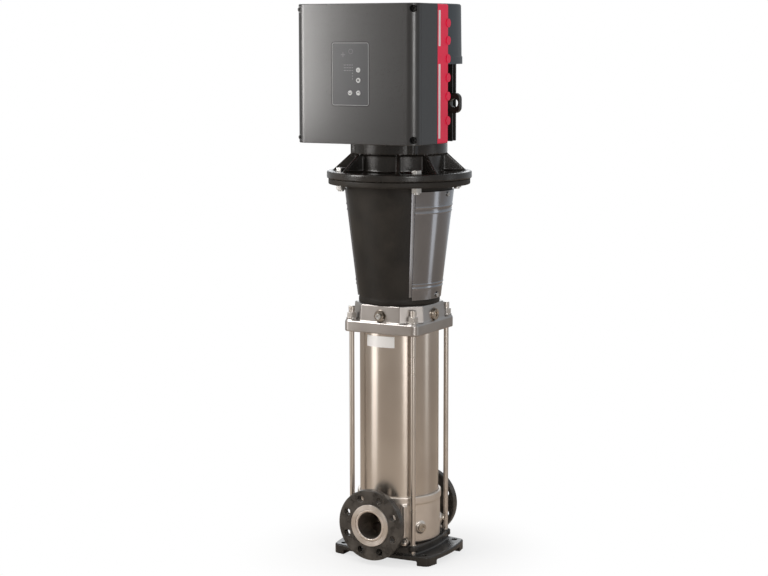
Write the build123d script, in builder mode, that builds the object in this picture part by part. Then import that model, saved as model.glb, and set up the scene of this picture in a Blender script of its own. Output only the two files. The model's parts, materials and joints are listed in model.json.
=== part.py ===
from build123d import *
import os
from math import cos, degrees, radians, sin, sqrt

os.makedirs("parts", exist_ok=True)

# Vertical multistage in-line pump with a flanged motor and a drive box on its front.
# Millimetres. +Z is up along the shaft, the floor is Z = 0 and the shaft is at X = Y = 0.
# The ports lie along Y: suction at the front (-Y, under the drive box), discharge behind.

# Clearances
run_gap = 0.05  # radial running fit of a turning piece on its bore
clear = 0.3  # gap between pieces that move past each other
bolt_clear = 0.5  # radial play of a bolt in its hole

# Ports and loose flanges
port_span = 320.0  # face to face, suction to discharge
port_height = 105.0
port_bore_dia = 70.0
neck_dia = 84.0
collar_dia = 109.0
collar_thick = 8.0
collar_stand = 2.0  # how far the collar stands proud of the loose flange
flange_dia = 185.0
flange_thick = 20.0
flange_hole_inset = 20.0  # from the flange's edge in to its holes' centres
flange_hole_dia = 18.0
flange_hole_count = 8
flange_edge = 2.0

# Base plate
plate_x = 280.0  # from corner to corner, where the curved edges meet
plate_y = 205.0
plate_corner = 16.0
side_bulge = 12.5  # how far the short edges curve out between the corners
front_bulge = 11.0
foot_reach_x = 31.0  # from the plate's corner in to each foot's inner sides
foot_reach_y = 38.0
leg_drop = 12.0  # height of the plate's underside above the floor
deck_thick = 13.0
seat_height = 21.0  # of the raised seat under the chamber
seat_corner = 12.0
seat_inset = 10.0  # from the chamber's outside in to the seat's corners
seat_margin = 0.5  # how far the seat's edges reach past the chamber
plate_floor = 12.0
foot_hole_x = 240.0
foot_hole_y = 170.0
foot_hole_dia = 14.0
plate_pocket_dia = 170.0
plate_edge = 2.0

# Base chamber
chamber_margin = 4.5  # metal outside the sleeve's groove
chamber_wall = 8.0
chamber_floor = 8.0
chamber_height = 125.0
band_stand = 2.5
band_height = 20.0
casting_edge = 2.0
stack_drop = 21.0  # from the chamber's rim down to the seat of the stages
partition_thick = 6.0
divider_y = 44.0
lug_angle = 54.3  # degrees from the X axis
lug_stand = 8.4  # from the chamber's outside to a lug's centre
lug_radius = 10.0
lug_height = 9.0
base_bolt_dia = 8.0
base_bolt_flats = 13.0
base_bolt_head = 5.5
base_bolt_grip = 16.0  # thread in the plate
rib_dia = 16.0  # the upright ribs above the lugs
rib_rise = 8.0  # from the lug up to the rib's foot, which clears the bolt's head
rib_inset = 0.93  # the ribs stand this share of the lugs' distance from the shaft
drain_angle = 30.0  # the drain plugs sit this far to each side of +X
drain_height = 42.0  # above the chamber's seat
drain_boss_dia = 28.0
drain_thread_dia = 14.0
drain_boss_reach = 4.0  # beyond the chamber's outside
drain_head_dia = 22.0

# Sleeve and stages
sleeve_dia = 207.0
sleeve_wall = 2.0
sleeve_seat = 8.0  # how deep the sleeve's ends sit in their grooves
stage_count = 5
stage_pitch = 82.0
annulus = 11.5  # the gap between the stages and the sleeve, where the water comes down
stage_wall = 3.0
stage_floor = 4.0
eye_dia = 76.0
top_guide_height = 38.0
window_count = 6
window_width = 60.0
window_height = 22.0
neck_ring_height = 8.0
impeller_gap = 13.0
impeller_neck_dia = 66.0
impeller_neck_wall = 5.0
impeller_neck_rise = 11.0  # from the stage's floor up to the front shroud
shroud_thick = 2.5
blade_height = 14.0
blade_count = 6
blade_sweep = 58.0  # degrees that a blade turns back from eye to rim
blade_start = 31.0
blade_lead = 0.38  # share of its sweep that a blade has made at mid radius
hub_dia = 32.0
hub_rise = 36.0
vane_disc_rise = 45.0
vane_disc_thick = 3.0
vane_disc_gap = 3.0
vane_count = 6
vane_sweep = 42.0
vane_start = 42.0
bush_dia = 40.0
bush_length = 14.0
shaft_dia = 22.0
shaft_foot_drop = 9.0
end_nut_dia = 30.0
end_nut_inset = 2.0

# Pump head and staybolts
head_margin = 4.5  # metal outside the sleeve's groove
head_corner = 16.0
head_band_height = 30.0
head_step = 4.0  # from the band in to the upper head
head_top_height = 44.0
head_draft = 4.0
pocket_cut = 46.0  # how far the upper head's corners are cut back
head_clamp = 6.0  # how far the head's rim reaches in over the top guide
head_roof = 20.0
nut_pad_height = 3.0
stay_inset = 17.0  # from the head's outside to the staybolts
stay_boss_dia = 26.0
stay_boss_rise = 2.0  # above the chamber's seat
stay_shank_dia = 13.0
stay_thread_dia = 16.0
stay_thread_length = 32.0
stay_thread_run = 4.0  # thread that goes on past its seat
stay_tip = 20.0  # thread that shows above the nut's seat, nut included
nut_flats = 24.0
nut_height = 13.0
washer_dia = 28.0
washer_thick = 3.0
plug_dia = 29.0
plug_flats = 24.6
plug_room = 1.0
plug_flange = 4.0
plug_head = 6.0
plug_thread_dia = 14.0
plug_thread_length = 12.0
plug_rise = 16.0  # above the head's square band
vent_screw_dia = 10.0
vent_head_dia = 15.0
vent_head = 4.0
vent_socket_radius = 3.5
vent_socket_depth = 2.5
vent_nub = 3.0
vent_nub_dia = 7.0
vent_nub_x = 11.5
vent_nub_drop = 7.0

# Shaft seal
seal_bore_dia = 54.0
carrier_dia = 90.0
carrier_thick = 6.0
seat_ring_dia = 44.0
seat_ring_height = 8.0
seal_ring_dia = 40.0
seal_ring_height = 24.0
seal_ring_edge = 3.0
shaft_space = 2.0

# Motor stool and guards
stool_foot_lip = 2.0
stool_foot_height = 12.0
stool_low_dia = 208.0
stool_top_dia = 279.0
stool_height = 323.0
stool_wall = 8.0
stool_flange_inset = 4.0  # from the motor flange's edge in to the stool flange's
stool_flange_thick = 16.0
stool_floor_hole = 100.0
stool_screw_circle_dia = 150.0
stool_screw_dia = 12.0
stool_screw_depth = 14.0  # in the pump head
window_low = 34.0
window_high = 264.0
window_half_low = 54.0
window_half_top = 68.0
guard_turn = -9.5  # degrees that the windows and guards are turned from the X axis
guard_wrap = 77.0
guard_strip = 4.0  # degrees of flat strip along each upright edge
guard_thick = 1.5
guard_stand = 3.0  # how far the sheet between the strips stands off the stool
guard_low = 14.0
guard_high = 294.0
guard_bead = 1.6
guard_bead_half = 3.0
guard_bead_rises = (45.0, 55.0, 239.0, 254.0)
guard_screw_dia = 6.0
guard_screw_inset = 9.0
guard_keyhole_dia = 9.0
guard_corner_cut = 8.0

# Coupling
coupling_dia = 76.0
coupling_length = 130.0
coupling_rise = 125.0  # above the pump head's top
coupling_split = 2.0
coupling_screw_dia = 8.0
coupling_screw_offset = 26.0
coupling_screw_inset = 22.0
coupling_screw_seat = 13.0  # from the split to the heads' seats
shaft_end_gap = 6.0  # between the two shafts' ends

# Motor
motor_flange_dia = 376.0
motor_flange_thick = 18.0
motor_bolt_circle_dia = 312.0
motor_bolt_dia = 16.0
bolt_head_height = 10.0
bolt_tip = 4.0  # thread that shows past a nut
shield_height = 78.0
shield_floor = 10.0  # the flange's thickness inside the drum
shield_drum_dia = 226.0
shield_drum_wall = 7.0
shield_cap_dia = 246.0
shield_cap_thick = 33.0
shield_roof = 8.0
gusset_turn = 17.5  # degrees from each flange bolt to the gussets beside it
gusset_thick = 8.0
gusset_foot_inset = 17.0
gusset_toe = 3.0
tie_boss_dia = 26.0
tie_boss_circle_dia = 234.0
bearing_dia = 100.0
bearing_width = 25.0
bearing_bore_dia = 45.0
bearing_lip = 5.0
bearing_housing_wall = 8.0
bearing_cap = 4.0
small_bearing_dia = 80.0
small_bearing_width = 18.0
small_bearing_bore_dia = 40.0
frame_height = 196.0
frame_bore_dia = 236.0
frame_body_dia = 262.0
fin_dia = 294.0
fin_count = 28
fin_thick = 4.0
core_low = 20.0
core_height = 140.0
stator_bore_dia = 151.0
air_gap = 0.5
winding_inner_dia = 160.0
winding_outer_dia = 224.0
winding_height = 15.0
motor_shaft_dia = 42.0
shaft_shoulder = 3.0
shaft_step = 2.0
fan_shield_thick = 12.0
fan_shield_dia = 286.0
cover_lug_width = 24.0
fan_dia = 240.0
fan_disc_thick = 3.0
fan_blade_height = 34.0
fan_blade_count = 8
fan_hub_dia = 60.0
fan_rise = 26.0  # above the fan-end shield
fan_cover_dia = 324.0
fan_cover_top_dia = 316.0
fan_cover_height = 151.0
fan_cover_wall = 2.5
fan_cover_edge = 3.0
grille_ring_count = 3
grille_slot_count = 16
grille_slot_width = 7.0
grille_slot_length = 28.0
grille_first = 16.0  # from the fan's hub to the first row of slots
grille_gap = 10.0
fan_cover_rim = 18.0  # height of the cowl's wider rim
fan_cover_step = 2.0
cover_screw_rise = 12.0
cover_screw_dia = 6.0
cover_screw_length = 14.0
cover_screw_angles = (-15, 45, 135, 195)
cover_lug_depth = 14.0
eye_reach = 33.0
eye_height = 52.0
eye_thick = 14.0
eye_hole_dia = 22.0
eye_sink = 2.0  # how far the eye's ring dips behind the tips of the fins
eye_neck = 30.0

# Drive box
box_width = 347.0
box_height = 345.0
box_front = 228.0  # from the shaft to the cover's front face
cover_depth = 109.0
gasket_thick = 1.5
gasket_inset = 1.0
frame_depth = 54.5
box_wall = 4.0
box_round = 28.0
box_edge = 5.0
saddle_wall = 5.0
saddle_gap = 1.5
knob_radius = 11.0
knob_depth = 18.0  # in from the frame's side
knob_stand = 2.0
knob_heights = (56.0, 117.0, 163.0, 210.0, 255.0, 298.0)
corner_inset_x = 11.0
corner_inset_z = 13.5
corner_post_dia = 26.0
corner_recess_dia = 18.0
corner_recess_depth = 12.0
cover_bolt_dia = 6.0
cover_bolt_head_dia = 12.0
cover_bolt_head = 5.0
cover_bolt_grip = 24.0  # length in the frame's post
keypad_x = -12.0
keypad_width = 106.0
keypad_height = 156.0
keypad_corner = 9.0
keypad_recess = 2.0
keypad_thick = 1.4
keypad_gap = 0.4
button_dia = 12.0
button_stand = 1.2
button_travel = 0.8
button_flange_dia = 16.0
button_flange = 1.0
button_edge = 0.5
button_spots = {
    "button_on": (10.5, 10.0),
    "button_off": (10.5, -15.0),
    "button_down": (-13.0, -46.0),
    "button_up": (10.5, -46.0),
}
board_width = 90.0
board_height = 130.0
board_thick = 1.6
board_stand = 7.0
standoff_dia = 8.0
switch_dia = 7.0

# Levels, worked out from the sizes above
deck_z = leg_drop + deck_thick
seat_z = deck_z + seat_height
rim_z = seat_z + chamber_height
stack_z = rim_z - stack_drop
stack_top_z = stack_z + stage_count * stage_pitch
head_z = stack_top_z + top_guide_height
band_z = head_z + head_band_height
nut_z = band_z + nut_pad_height
head_top_z = band_z + head_top_height
stool_top_z = head_top_z + stool_height
shield_z = stool_top_z + motor_flange_thick
motor_z = shield_z + shield_height
frame_top_z = motor_z + frame_height
fan_shield_z = frame_top_z + fan_shield_thick
fan_z = fan_shield_z + fan_rise
fan_cover_z = frame_top_z + fan_cover_height
box_z = motor_z
box_mid_z = box_z + box_height / 2
cover_back = box_front - cover_depth  # distances in front of the shaft
gasket_back = cover_back - gasket_thick
frame_back = gasket_back - frame_depth
coupling_z = head_top_z + coupling_rise
coupling_top_z = coupling_z + coupling_length
shaft_top_z = coupling_z + (coupling_length - shaft_end_gap) / 2
motor_shaft_low_z = shaft_top_z + shaft_end_gap

flange_circle_dia = flange_dia - 2 * flange_hole_inset
sleeve_radius = sleeve_dia / 2
chamber_radius = sleeve_radius + chamber_margin
chamber_dia = 2 * chamber_radius
band_dia = chamber_dia + 2 * band_stand
lug_x = (chamber_radius + lug_stand) * cos(radians(lug_angle))
lug_y = (chamber_radius + lug_stand) * sin(radians(lug_angle))
seat_half = chamber_radius - seat_inset
head_half = sleeve_radius + head_margin
head_top_half = head_half - head_step
stay_offset = head_half - stay_inset
stage_radius = sleeve_radius - sleeve_wall - annulus
stage_dia = 2 * stage_radius
impeller_radius = stage_radius - stage_wall - impeller_gap
head_cavity_dia = stage_dia - 2 * head_clamp
stool_foot_dia = stool_low_dia + 2 * stool_foot_lip
stool_flange_dia = motor_flange_dia - 2 * stool_flange_inset
port_face = port_span / 2
neck_radius = neck_dia / 2
chamber_inner = chamber_radius - chamber_wall
hub_radius = hub_dia / 2
shaft_radius = shaft_dia / 2
motor_shaft_radius = motor_shaft_dia / 2
plug_z = band_z + plug_rise
corners = [(-1, -1), (1, -1), (1, 1), (-1, 1)]
stay_spots = [(sx * stay_offset, sy * stay_offset) for sx, sy in corners]
motor_bolt_offset = motor_bolt_circle_dia / sqrt(8)
motor_bolt_spots = [(sx * motor_bolt_offset, sy * motor_bolt_offset) for sx, sy in corners]


def polar(radius, angle):
    """A point in the XY plane at this radius and angle in degrees."""
    return (radius * cos(radians(angle)), radius * sin(radians(angle)))


def side_plane(angle, z):
    """An upright plane through the shaft that faces out at this angle, its Y axis up."""
    return Plane(origin=(0, 0, z), x_dir=polar(1, angle + 90) + (0,), z_dir=polar(1, angle) + (0,))


def upright_plane(angle):
    """The upright plane that holds the shaft's axis and points out at this angle, its Y axis up."""
    return Plane(origin=(0, 0, 0), x_dir=polar(1, angle) + (0,), z_dir=polar(1, angle - 90) + (0,))


def ring(outer_radius, inner_radius, z_low, z_high):
    """A plain round ring, or a disc where the inner radius is zero."""
    with BuildPart() as made:
        with BuildSketch(Plane.XY.offset(z_low)):
            Circle(outer_radius)
            if inner_radius > 0:
                Circle(inner_radius, mode=Mode.SUBTRACT)
        extrude(amount=z_high - z_low)
    return made.part


def hex_bolt(thread_dia, length, flats, head_height):
    """A hexagon-headed bolt standing on its head's seat: head above Z = 0, shank below."""
    with BuildPart() as made:
        with BuildSketch():
            RegularPolygon(flats / 2, 6, major_radius=False)
        extrude(amount=head_height)
        with BuildSketch():
            Circle(thread_dia / 2)
        extrude(amount=-length)
    return made.part


def socket_screw(thread_dia, length, head_dia, head_height):
    """A round-headed screw with a hexagon socket: head above Z = 0, shank below."""
    with BuildPart() as made:
        with BuildSketch():
            Circle(head_dia / 2)
        extrude(amount=head_height)
        with BuildSketch(Plane.XY.offset(head_height)):
            RegularPolygon(head_dia / 4, 6)
        extrude(amount=-head_height / 2, mode=Mode.SUBTRACT)
        with BuildSketch():
            Circle(thread_dia / 2)
        extrude(amount=-length)
    return made.part


def swept_blade(inner_radius, outer_radius, sweep, thickness, z_low, z_high):
    """One backward-swept blade between two radii, starting on the X axis."""
    middle = (inner_radius + outer_radius) / 2
    lead = blade_lead * sweep
    inner_step = degrees(thickness / inner_radius)
    middle_step = degrees(thickness / middle)
    outer_step = degrees(thickness / outer_radius)
    with BuildPart() as made:
        with BuildSketch(Plane.XY.offset(z_low)):
            with BuildLine():
                ThreePointArc(polar(inner_radius, 0), polar(middle, -lead), polar(outer_radius, -sweep))
                Line(polar(outer_radius, -sweep), polar(outer_radius, outer_step - sweep))
                ThreePointArc(
                    polar(outer_radius, outer_step - sweep),
                    polar(middle, middle_step - lead),
                    polar(inner_radius, inner_step),
                )
                Line(polar(inner_radius, inner_step), polar(inner_radius, 0))
            make_face()
        extrude(amount=z_high - z_low)
    return made.part


def write(builder, name):
    """Labels a finished piece and writes its file."""
    builder.part.label = name
    export_step(builder.part, "parts/" + name + ".step")


def write_stack(builder, levels, name):
    """Writes one piece repeated at each level. The copies touch, and stay separate solids."""
    stack = Compound(label=name, children=[Pos(0, 0, z) * builder.part.solid() for z in levels])
    export_step(stack, "parts/" + name + ".step")


# Base plate: a cast plate on four feet, raised to a seat for the chamber with a boss for a
# staybolt at each corner. The edges of both curve out between their corners.
def bulged_rectangle(half_x, half_y, bulge_x, bulge_y, corner):
    """A rectangle whose four edges curve out by these amounts, with rounded corners."""
    with BuildSketch() as made:
        with BuildLine():
            ThreePointArc((-half_x, -half_y), (0, -half_y - bulge_y), (half_x, -half_y))
            ThreePointArc((half_x, -half_y), (half_x + bulge_x, 0), (half_x, half_y))
            ThreePointArc((half_x, half_y), (0, half_y + bulge_y), (-half_x, half_y))
            ThreePointArc((-half_x, half_y), (-half_x - bulge_x, 0), (-half_x, -half_y))
        make_face()
        fillet(made.vertices(), corner)
    return made.sketch


plate_outline = bulged_rectangle(plate_x / 2, plate_y / 2, side_bulge, front_bulge, plate_corner)
seat_bulge = seat_inset + seat_margin
seat_outline = bulged_rectangle(seat_half, seat_half, seat_bulge, seat_bulge, seat_corner)
with BuildPart() as base_plate:
    with BuildSketch():
        add(plate_outline)
    extrude(amount=deck_z)
    chamfer(base_plate.edges().group_by(Axis.Z)[-1], plate_edge)
    with BuildSketch():
        Rectangle(plate_x - 2 * foot_reach_x, 2 * plate_y)
        Rectangle(2 * plate_x, plate_y - 2 * foot_reach_y)
    extrude(amount=leg_drop, mode=Mode.SUBTRACT)
    with BuildSketch(Plane.XY.offset(leg_drop)):
        add(seat_outline)
    extrude(amount=seat_z - leg_drop)
    chamfer(base_plate.edges().group_by(Axis.Z)[-1], plate_edge)
    with BuildSketch(Plane.XY.offset(seat_z - plate_floor)):
        with GridLocations(2 * stay_offset, 2 * stay_offset, 2, 2):
            Circle(stay_boss_dia / 2)
    extrude(amount=plate_floor + stay_boss_rise)
    chamfer(base_plate.edges().group_by(Axis.Z)[-1], 1)
    with BuildSketch(Plane.XY.offset(leg_drop)):
        Circle(plate_pocket_dia / 2)
    extrude(amount=seat_z - plate_floor - leg_drop, mode=Mode.SUBTRACT)
    with Locations((0, 0, deck_z)):
        with GridLocations(foot_hole_x, foot_hole_y, 2, 2):
            Hole(foot_hole_dia / 2, depth=deck_z)
    with Locations((0, 0, seat_z + stay_boss_rise)):
        with GridLocations(2 * stay_offset, 2 * stay_offset, 2, 2):
            Hole(stay_thread_dia / 2, depth=stay_thread_length + stay_boss_rise)
    with Locations((0, 0, seat_z)):
        with GridLocations(2 * lug_x, 2 * lug_y, 2, 2):
            Hole(base_bolt_dia / 2, depth=seat_height)
write(base_plate, "base_plate")

# Base chamber: a turned cup with both port necks, a floor under the stages and a wall
# between the suction side and the discharge side
drain_spots = [side_plane(angle, seat_z + drain_height) for angle in (-drain_angle, drain_angle)]
with BuildPart() as base_chamber:
    with BuildSketch(Plane.XY.offset(seat_z)):
        Circle(chamber_radius)
    extrude(amount=chamber_height - band_height)
    chamfer(base_chamber.edges().group_by(Axis.Z)[0], casting_edge * 2)
    with BuildSketch(Plane.XY.offset(rim_z - band_height)):
        Circle(band_dia / 2)
    extrude(amount=band_height)
    chamfer(base_chamber.edges().group_by(Axis.Z)[-1], 1)
    with BuildSketch(Plane.XY.offset(seat_z)):
        with GridLocations(2 * lug_x, 2 * lug_y, 2, 2):
            Circle(lug_radius)
        with GridLocations(2 * lug_x * rib_inset, 2 * lug_y * rib_inset, 2, 2):
            Circle(lug_radius)
    extrude(amount=lug_height)
    with BuildSketch(Plane.XY.offset(seat_z + lug_height + rib_rise)):
        with GridLocations(2 * lug_x * rib_inset, 2 * lug_y * rib_inset, 2, 2):
            Circle(rib_dia / 2)
    extrude(amount=chamber_height - band_height - lug_height - rib_rise)
    with BuildSketch(Plane.XZ):
        with Locations((0, port_height)):
            Circle(neck_radius)
    extrude(amount=port_face, both=True)
    for spot in drain_spots:
        with BuildSketch(spot.offset(chamber_inner - casting_edge)):
            Circle(drain_boss_dia / 2)
        extrude(amount=chamber_wall + casting_edge + drain_boss_reach)
    with BuildSketch(Plane.XY.offset(seat_z + chamber_floor)):
        Circle(chamber_inner)
    extrude(amount=chamber_height, mode=Mode.SUBTRACT)
    with BuildSketch(Plane.XY.offset(rim_z - sleeve_seat)):
        Circle(sleeve_radius)
    extrude(amount=sleeve_seat, mode=Mode.SUBTRACT)
    with BuildSketch(Plane.XY.offset(stack_z - partition_thick)):
        Circle(chamber_inner + 1)
        Circle(eye_dia / 2, mode=Mode.SUBTRACT)
    extrude(amount=partition_thick)
    with BuildSketch(Plane.XY.offset(seat_z + chamber_floor - 1)):
        Circle(chamber_inner + 1)
        with Locations((0, divider_y + partition_thick / 2)):
            Rectangle(chamber_dia, partition_thick, mode=Mode.INTERSECT)
    extrude(amount=stack_z - seat_z - chamber_floor)
    with BuildSketch(Plane.XY.offset(stack_z - partition_thick)):
        Circle(chamber_inner)
        Circle(stage_radius + 1, mode=Mode.SUBTRACT)
        with Locations((0, divider_y + partition_thick + chamber_radius)):
            Rectangle(chamber_dia, chamber_dia, mode=Mode.INTERSECT)
    extrude(amount=partition_thick, mode=Mode.SUBTRACT)
    for port_plane in (Plane.XZ.offset(port_face), Plane.XZ.offset(-port_face)):
        inward = -1 if port_plane.origin.Y < 0 else 1
        with BuildSketch(port_plane):
            with Locations((0, port_height)):
                Circle(port_bore_dia / 2)
        extrude(amount=inward * (port_face - chamber_inner + 2 * chamber_wall), mode=Mode.SUBTRACT)
    for spot in drain_spots:
        with BuildSketch(spot.offset(chamber_inner - 2 * casting_edge)):
            Circle(drain_thread_dia / 2)
        extrude(amount=2 * chamber_wall, mode=Mode.SUBTRACT)
    with Locations((0, 0, seat_z + lug_height)):
        with GridLocations(2 * lug_x, 2 * lug_y, 2, 2):
            Hole(base_bolt_dia / 2, depth=lug_height)
write(base_chamber, "base_chamber")

# Port collars: rings screwed on the neck ends, which hold the loose flanges
with BuildPart() as port_collars:
    for side in (-1, 1):
        with BuildSketch(Plane.XZ.offset(-side * port_face)):
            with Locations((0, port_height)):
                Circle(collar_dia / 2)
                Circle(neck_radius, mode=Mode.SUBTRACT)
        extrude(amount=side * collar_thick)
write(port_collars, "port_collars")

# Loose flanges: round backing flanges that turn on the port necks to meet the pipe's holes
for side, flange_name in ((-1, "suction_flange"), (1, "discharge_flange")):
    flange_face = port_face - collar_stand
    with BuildPart() as loose_flange:
        with BuildSketch(Plane.XZ.offset(-side * flange_face)):
            with Locations((0, port_height)):
                Circle(flange_dia / 2)
                Circle(neck_radius + run_gap, mode=Mode.SUBTRACT)
                with PolarLocations(flange_circle_dia / 2, flange_hole_count, 180 / flange_hole_count):
                    Circle(flange_hole_dia / 2, mode=Mode.SUBTRACT)
        extrude(amount=side * flange_thick)
        rims = loose_flange.edges().filter_by(GeomType.CIRCLE).sort_by(SortBy.RADIUS)[-2:]
        chamfer(rims, flange_edge)
        with BuildSketch(Plane.XZ.offset(-side * flange_face)):
            with Locations((0, port_height)):
                Circle(collar_dia / 2 + clear)
        extrude(amount=side * (collar_thick - collar_stand + clear), mode=Mode.SUBTRACT)
    write(loose_flange, flange_name)

# Base bolts: four hexagon bolts that hold the chamber's lugs down on the plate
base_bolt = hex_bolt(base_bolt_dia, lug_height + base_bolt_grip, base_bolt_flats, base_bolt_head)
with BuildPart() as base_bolts:
    with Locations((0, 0, seat_z + lug_height)):
        with GridLocations(2 * lug_x, 2 * lug_y, 2, 2):
            add(base_bolt)
write(base_bolts, "base_bolts")

# Drain plugs: flanged plugs with a hexagon socket, one on each side of the wall inside
drain_plug = socket_screw(drain_thread_dia, chamber_wall + drain_boss_reach, drain_head_dia, plug_head)
with BuildPart() as drain_plugs:
    for spot in drain_spots:
        add(spot.offset(chamber_radius + drain_boss_reach).location * drain_plug)
write(drain_plugs, "drain_plugs")

# Outer sleeve: the stainless tube around the stages, seated in the chamber and the head
with BuildPart() as outer_sleeve:
    with BuildSketch(Plane.XY.offset(rim_z - sleeve_seat)):
        Circle(sleeve_radius)
        Circle(sleeve_radius - sleeve_wall, mode=Mode.SUBTRACT)
    extrude(amount=head_z - rim_z + 2 * sleeve_seat)
write(outer_sleeve, "outer_sleeve")

# Stage chambers: stacked cups whose floors carry the neck rings
stage_levels = [stack_z + stage * stage_pitch for stage in range(stage_count)]
with BuildPart() as stage_chamber:
    with BuildSketch():
        Circle(stage_radius)
        Circle(eye_dia / 2, mode=Mode.SUBTRACT)
    extrude(amount=stage_floor)
    with BuildSketch(Plane.XY.offset(stage_floor)):
        Circle(stage_radius)
        Circle(stage_radius - stage_wall, mode=Mode.SUBTRACT)
    extrude(amount=stage_pitch - stage_floor)
write_stack(stage_chamber, stage_levels, "stage_chambers")

# Neck rings: wear rings in the stage floors, round the impeller necks
neck_ring = ring(eye_dia / 2, impeller_neck_dia / 2 + run_gap, 0, neck_ring_height)
with BuildPart() as neck_rings:
    with Locations(*[(0, 0, z) for z in stage_levels]):
        add(neck_ring)
write(neck_rings, "neck_rings")

# Guide vanes: a disc above each impeller whose vanes lead the water in to the next eye
disc_radius = stage_radius - stage_wall - vane_disc_gap
vane_low = vane_disc_rise + vane_disc_thick
with BuildPart() as guide_vane:
    with BuildSketch(Plane.XY.offset(vane_disc_rise)):
        Circle(disc_radius)
        Circle(bush_dia / 2, mode=Mode.SUBTRACT)
    extrude(amount=vane_disc_thick)
    vane = swept_blade(vane_start, disc_radius - 1, -vane_sweep, shroud_thick, vane_low, stage_pitch)
    with PolarLocations(0, vane_count):
        add(vane)
write_stack(guide_vane, stage_levels, "guide_vanes")

# Stage bushes: bearing bushes in the guide vanes, which steady the shaft
bush_rise = vane_disc_rise + vane_disc_thick / 2 - bush_length / 2
stage_bush = ring(bush_dia / 2, hub_radius + run_gap, bush_rise, bush_rise + bush_length)
with BuildPart() as stage_bushes:
    with Locations(*[(0, 0, z) for z in stage_levels]):
        add(stage_bush)
write(stage_bushes, "stage_bushes")

# Impellers: closed impellers with the eye below, backward-swept blades between two shrouds
blade_low = impeller_neck_rise + shroud_thick
blade_high = blade_low + blade_height
with BuildPart() as impeller:
    add(ring(impeller_neck_dia / 2, impeller_neck_dia / 2 - impeller_neck_wall, 1, impeller_neck_rise))
    add(ring(impeller_radius, impeller_neck_dia / 2 - impeller_neck_wall, impeller_neck_rise, blade_low))
    blade = swept_blade(blade_start, impeller_radius - 1, blade_sweep, shroud_thick, blade_low, blade_high)
    with PolarLocations(0, blade_count):
        add(blade)
    add(ring(impeller_radius, shaft_radius, blade_high, blade_high + shroud_thick))
    add(ring(hub_radius, shaft_radius, blade_low, hub_rise))
with BuildPart() as impellers:
    with Locations(*[(0, 0, z) for z in stage_levels]):
        add(impeller.part)
write(impellers, "impellers")

# Spacer sleeves: they hold the impellers apart on the shaft and run in the stage bushes
spacer_end = stage_pitch + blade_low
with BuildPart() as spacer_sleeve:
    add(ring(hub_radius, shaft_radius, hub_rise, spacer_end))
with BuildPart() as spacer_sleeves:
    with Locations(*[(0, 0, z) for z in stage_levels]):
        add(spacer_sleeve.part)
write(spacer_sleeves, "spacer_sleeves")

# Pump shaft: one straight shaft from the first stage up into the coupling
shaft_low_z = stack_z + blade_low - shaft_foot_drop
with BuildPart() as pump_shaft:
    with BuildSketch(Plane.XY.offset(shaft_low_z)):
        Circle(shaft_radius)
    extrude(amount=shaft_top_z - shaft_low_z)
    chamfer(pump_shaft.edges(), 1)
write(pump_shaft, "pump_shaft")

# Shaft end nut: a round nut that holds the impellers up on the shaft
with BuildPart() as shaft_end_nut:
    with BuildSketch(Plane.XY.offset(shaft_low_z + end_nut_inset)):
        RegularPolygon(end_nut_dia / 2, 6)
        Circle(shaft_radius, mode=Mode.SUBTRACT)
    extrude(amount=shaft_foot_drop - end_nut_inset)
write(shaft_end_nut, "shaft_end_nut")

# Top guide: the ring that clamps the stages under the head, with windows into the annulus
with BuildPart() as top_guide:
    with BuildSketch(Plane.XY.offset(stack_top_z)):
        Circle(stage_radius)
        Circle(eye_dia / 2, mode=Mode.SUBTRACT)
    extrude(amount=stage_floor)
    with BuildSketch(Plane.XY.offset(stack_top_z + stage_floor)):
        Circle(stage_radius)
        Circle(stage_radius - stage_wall, mode=Mode.SUBTRACT)
    extrude(amount=top_guide_height - stage_floor)
    window_z = stack_top_z + (top_guide_height + stage_floor) / 2
    for turn in range(0, 360, 360 // window_count):
        with BuildSketch(side_plane(turn, window_z)):
            Rectangle(window_width, window_height)
        extrude(amount=stage_dia, mode=Mode.SUBTRACT)
write(top_guide, "top_guide")

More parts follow.
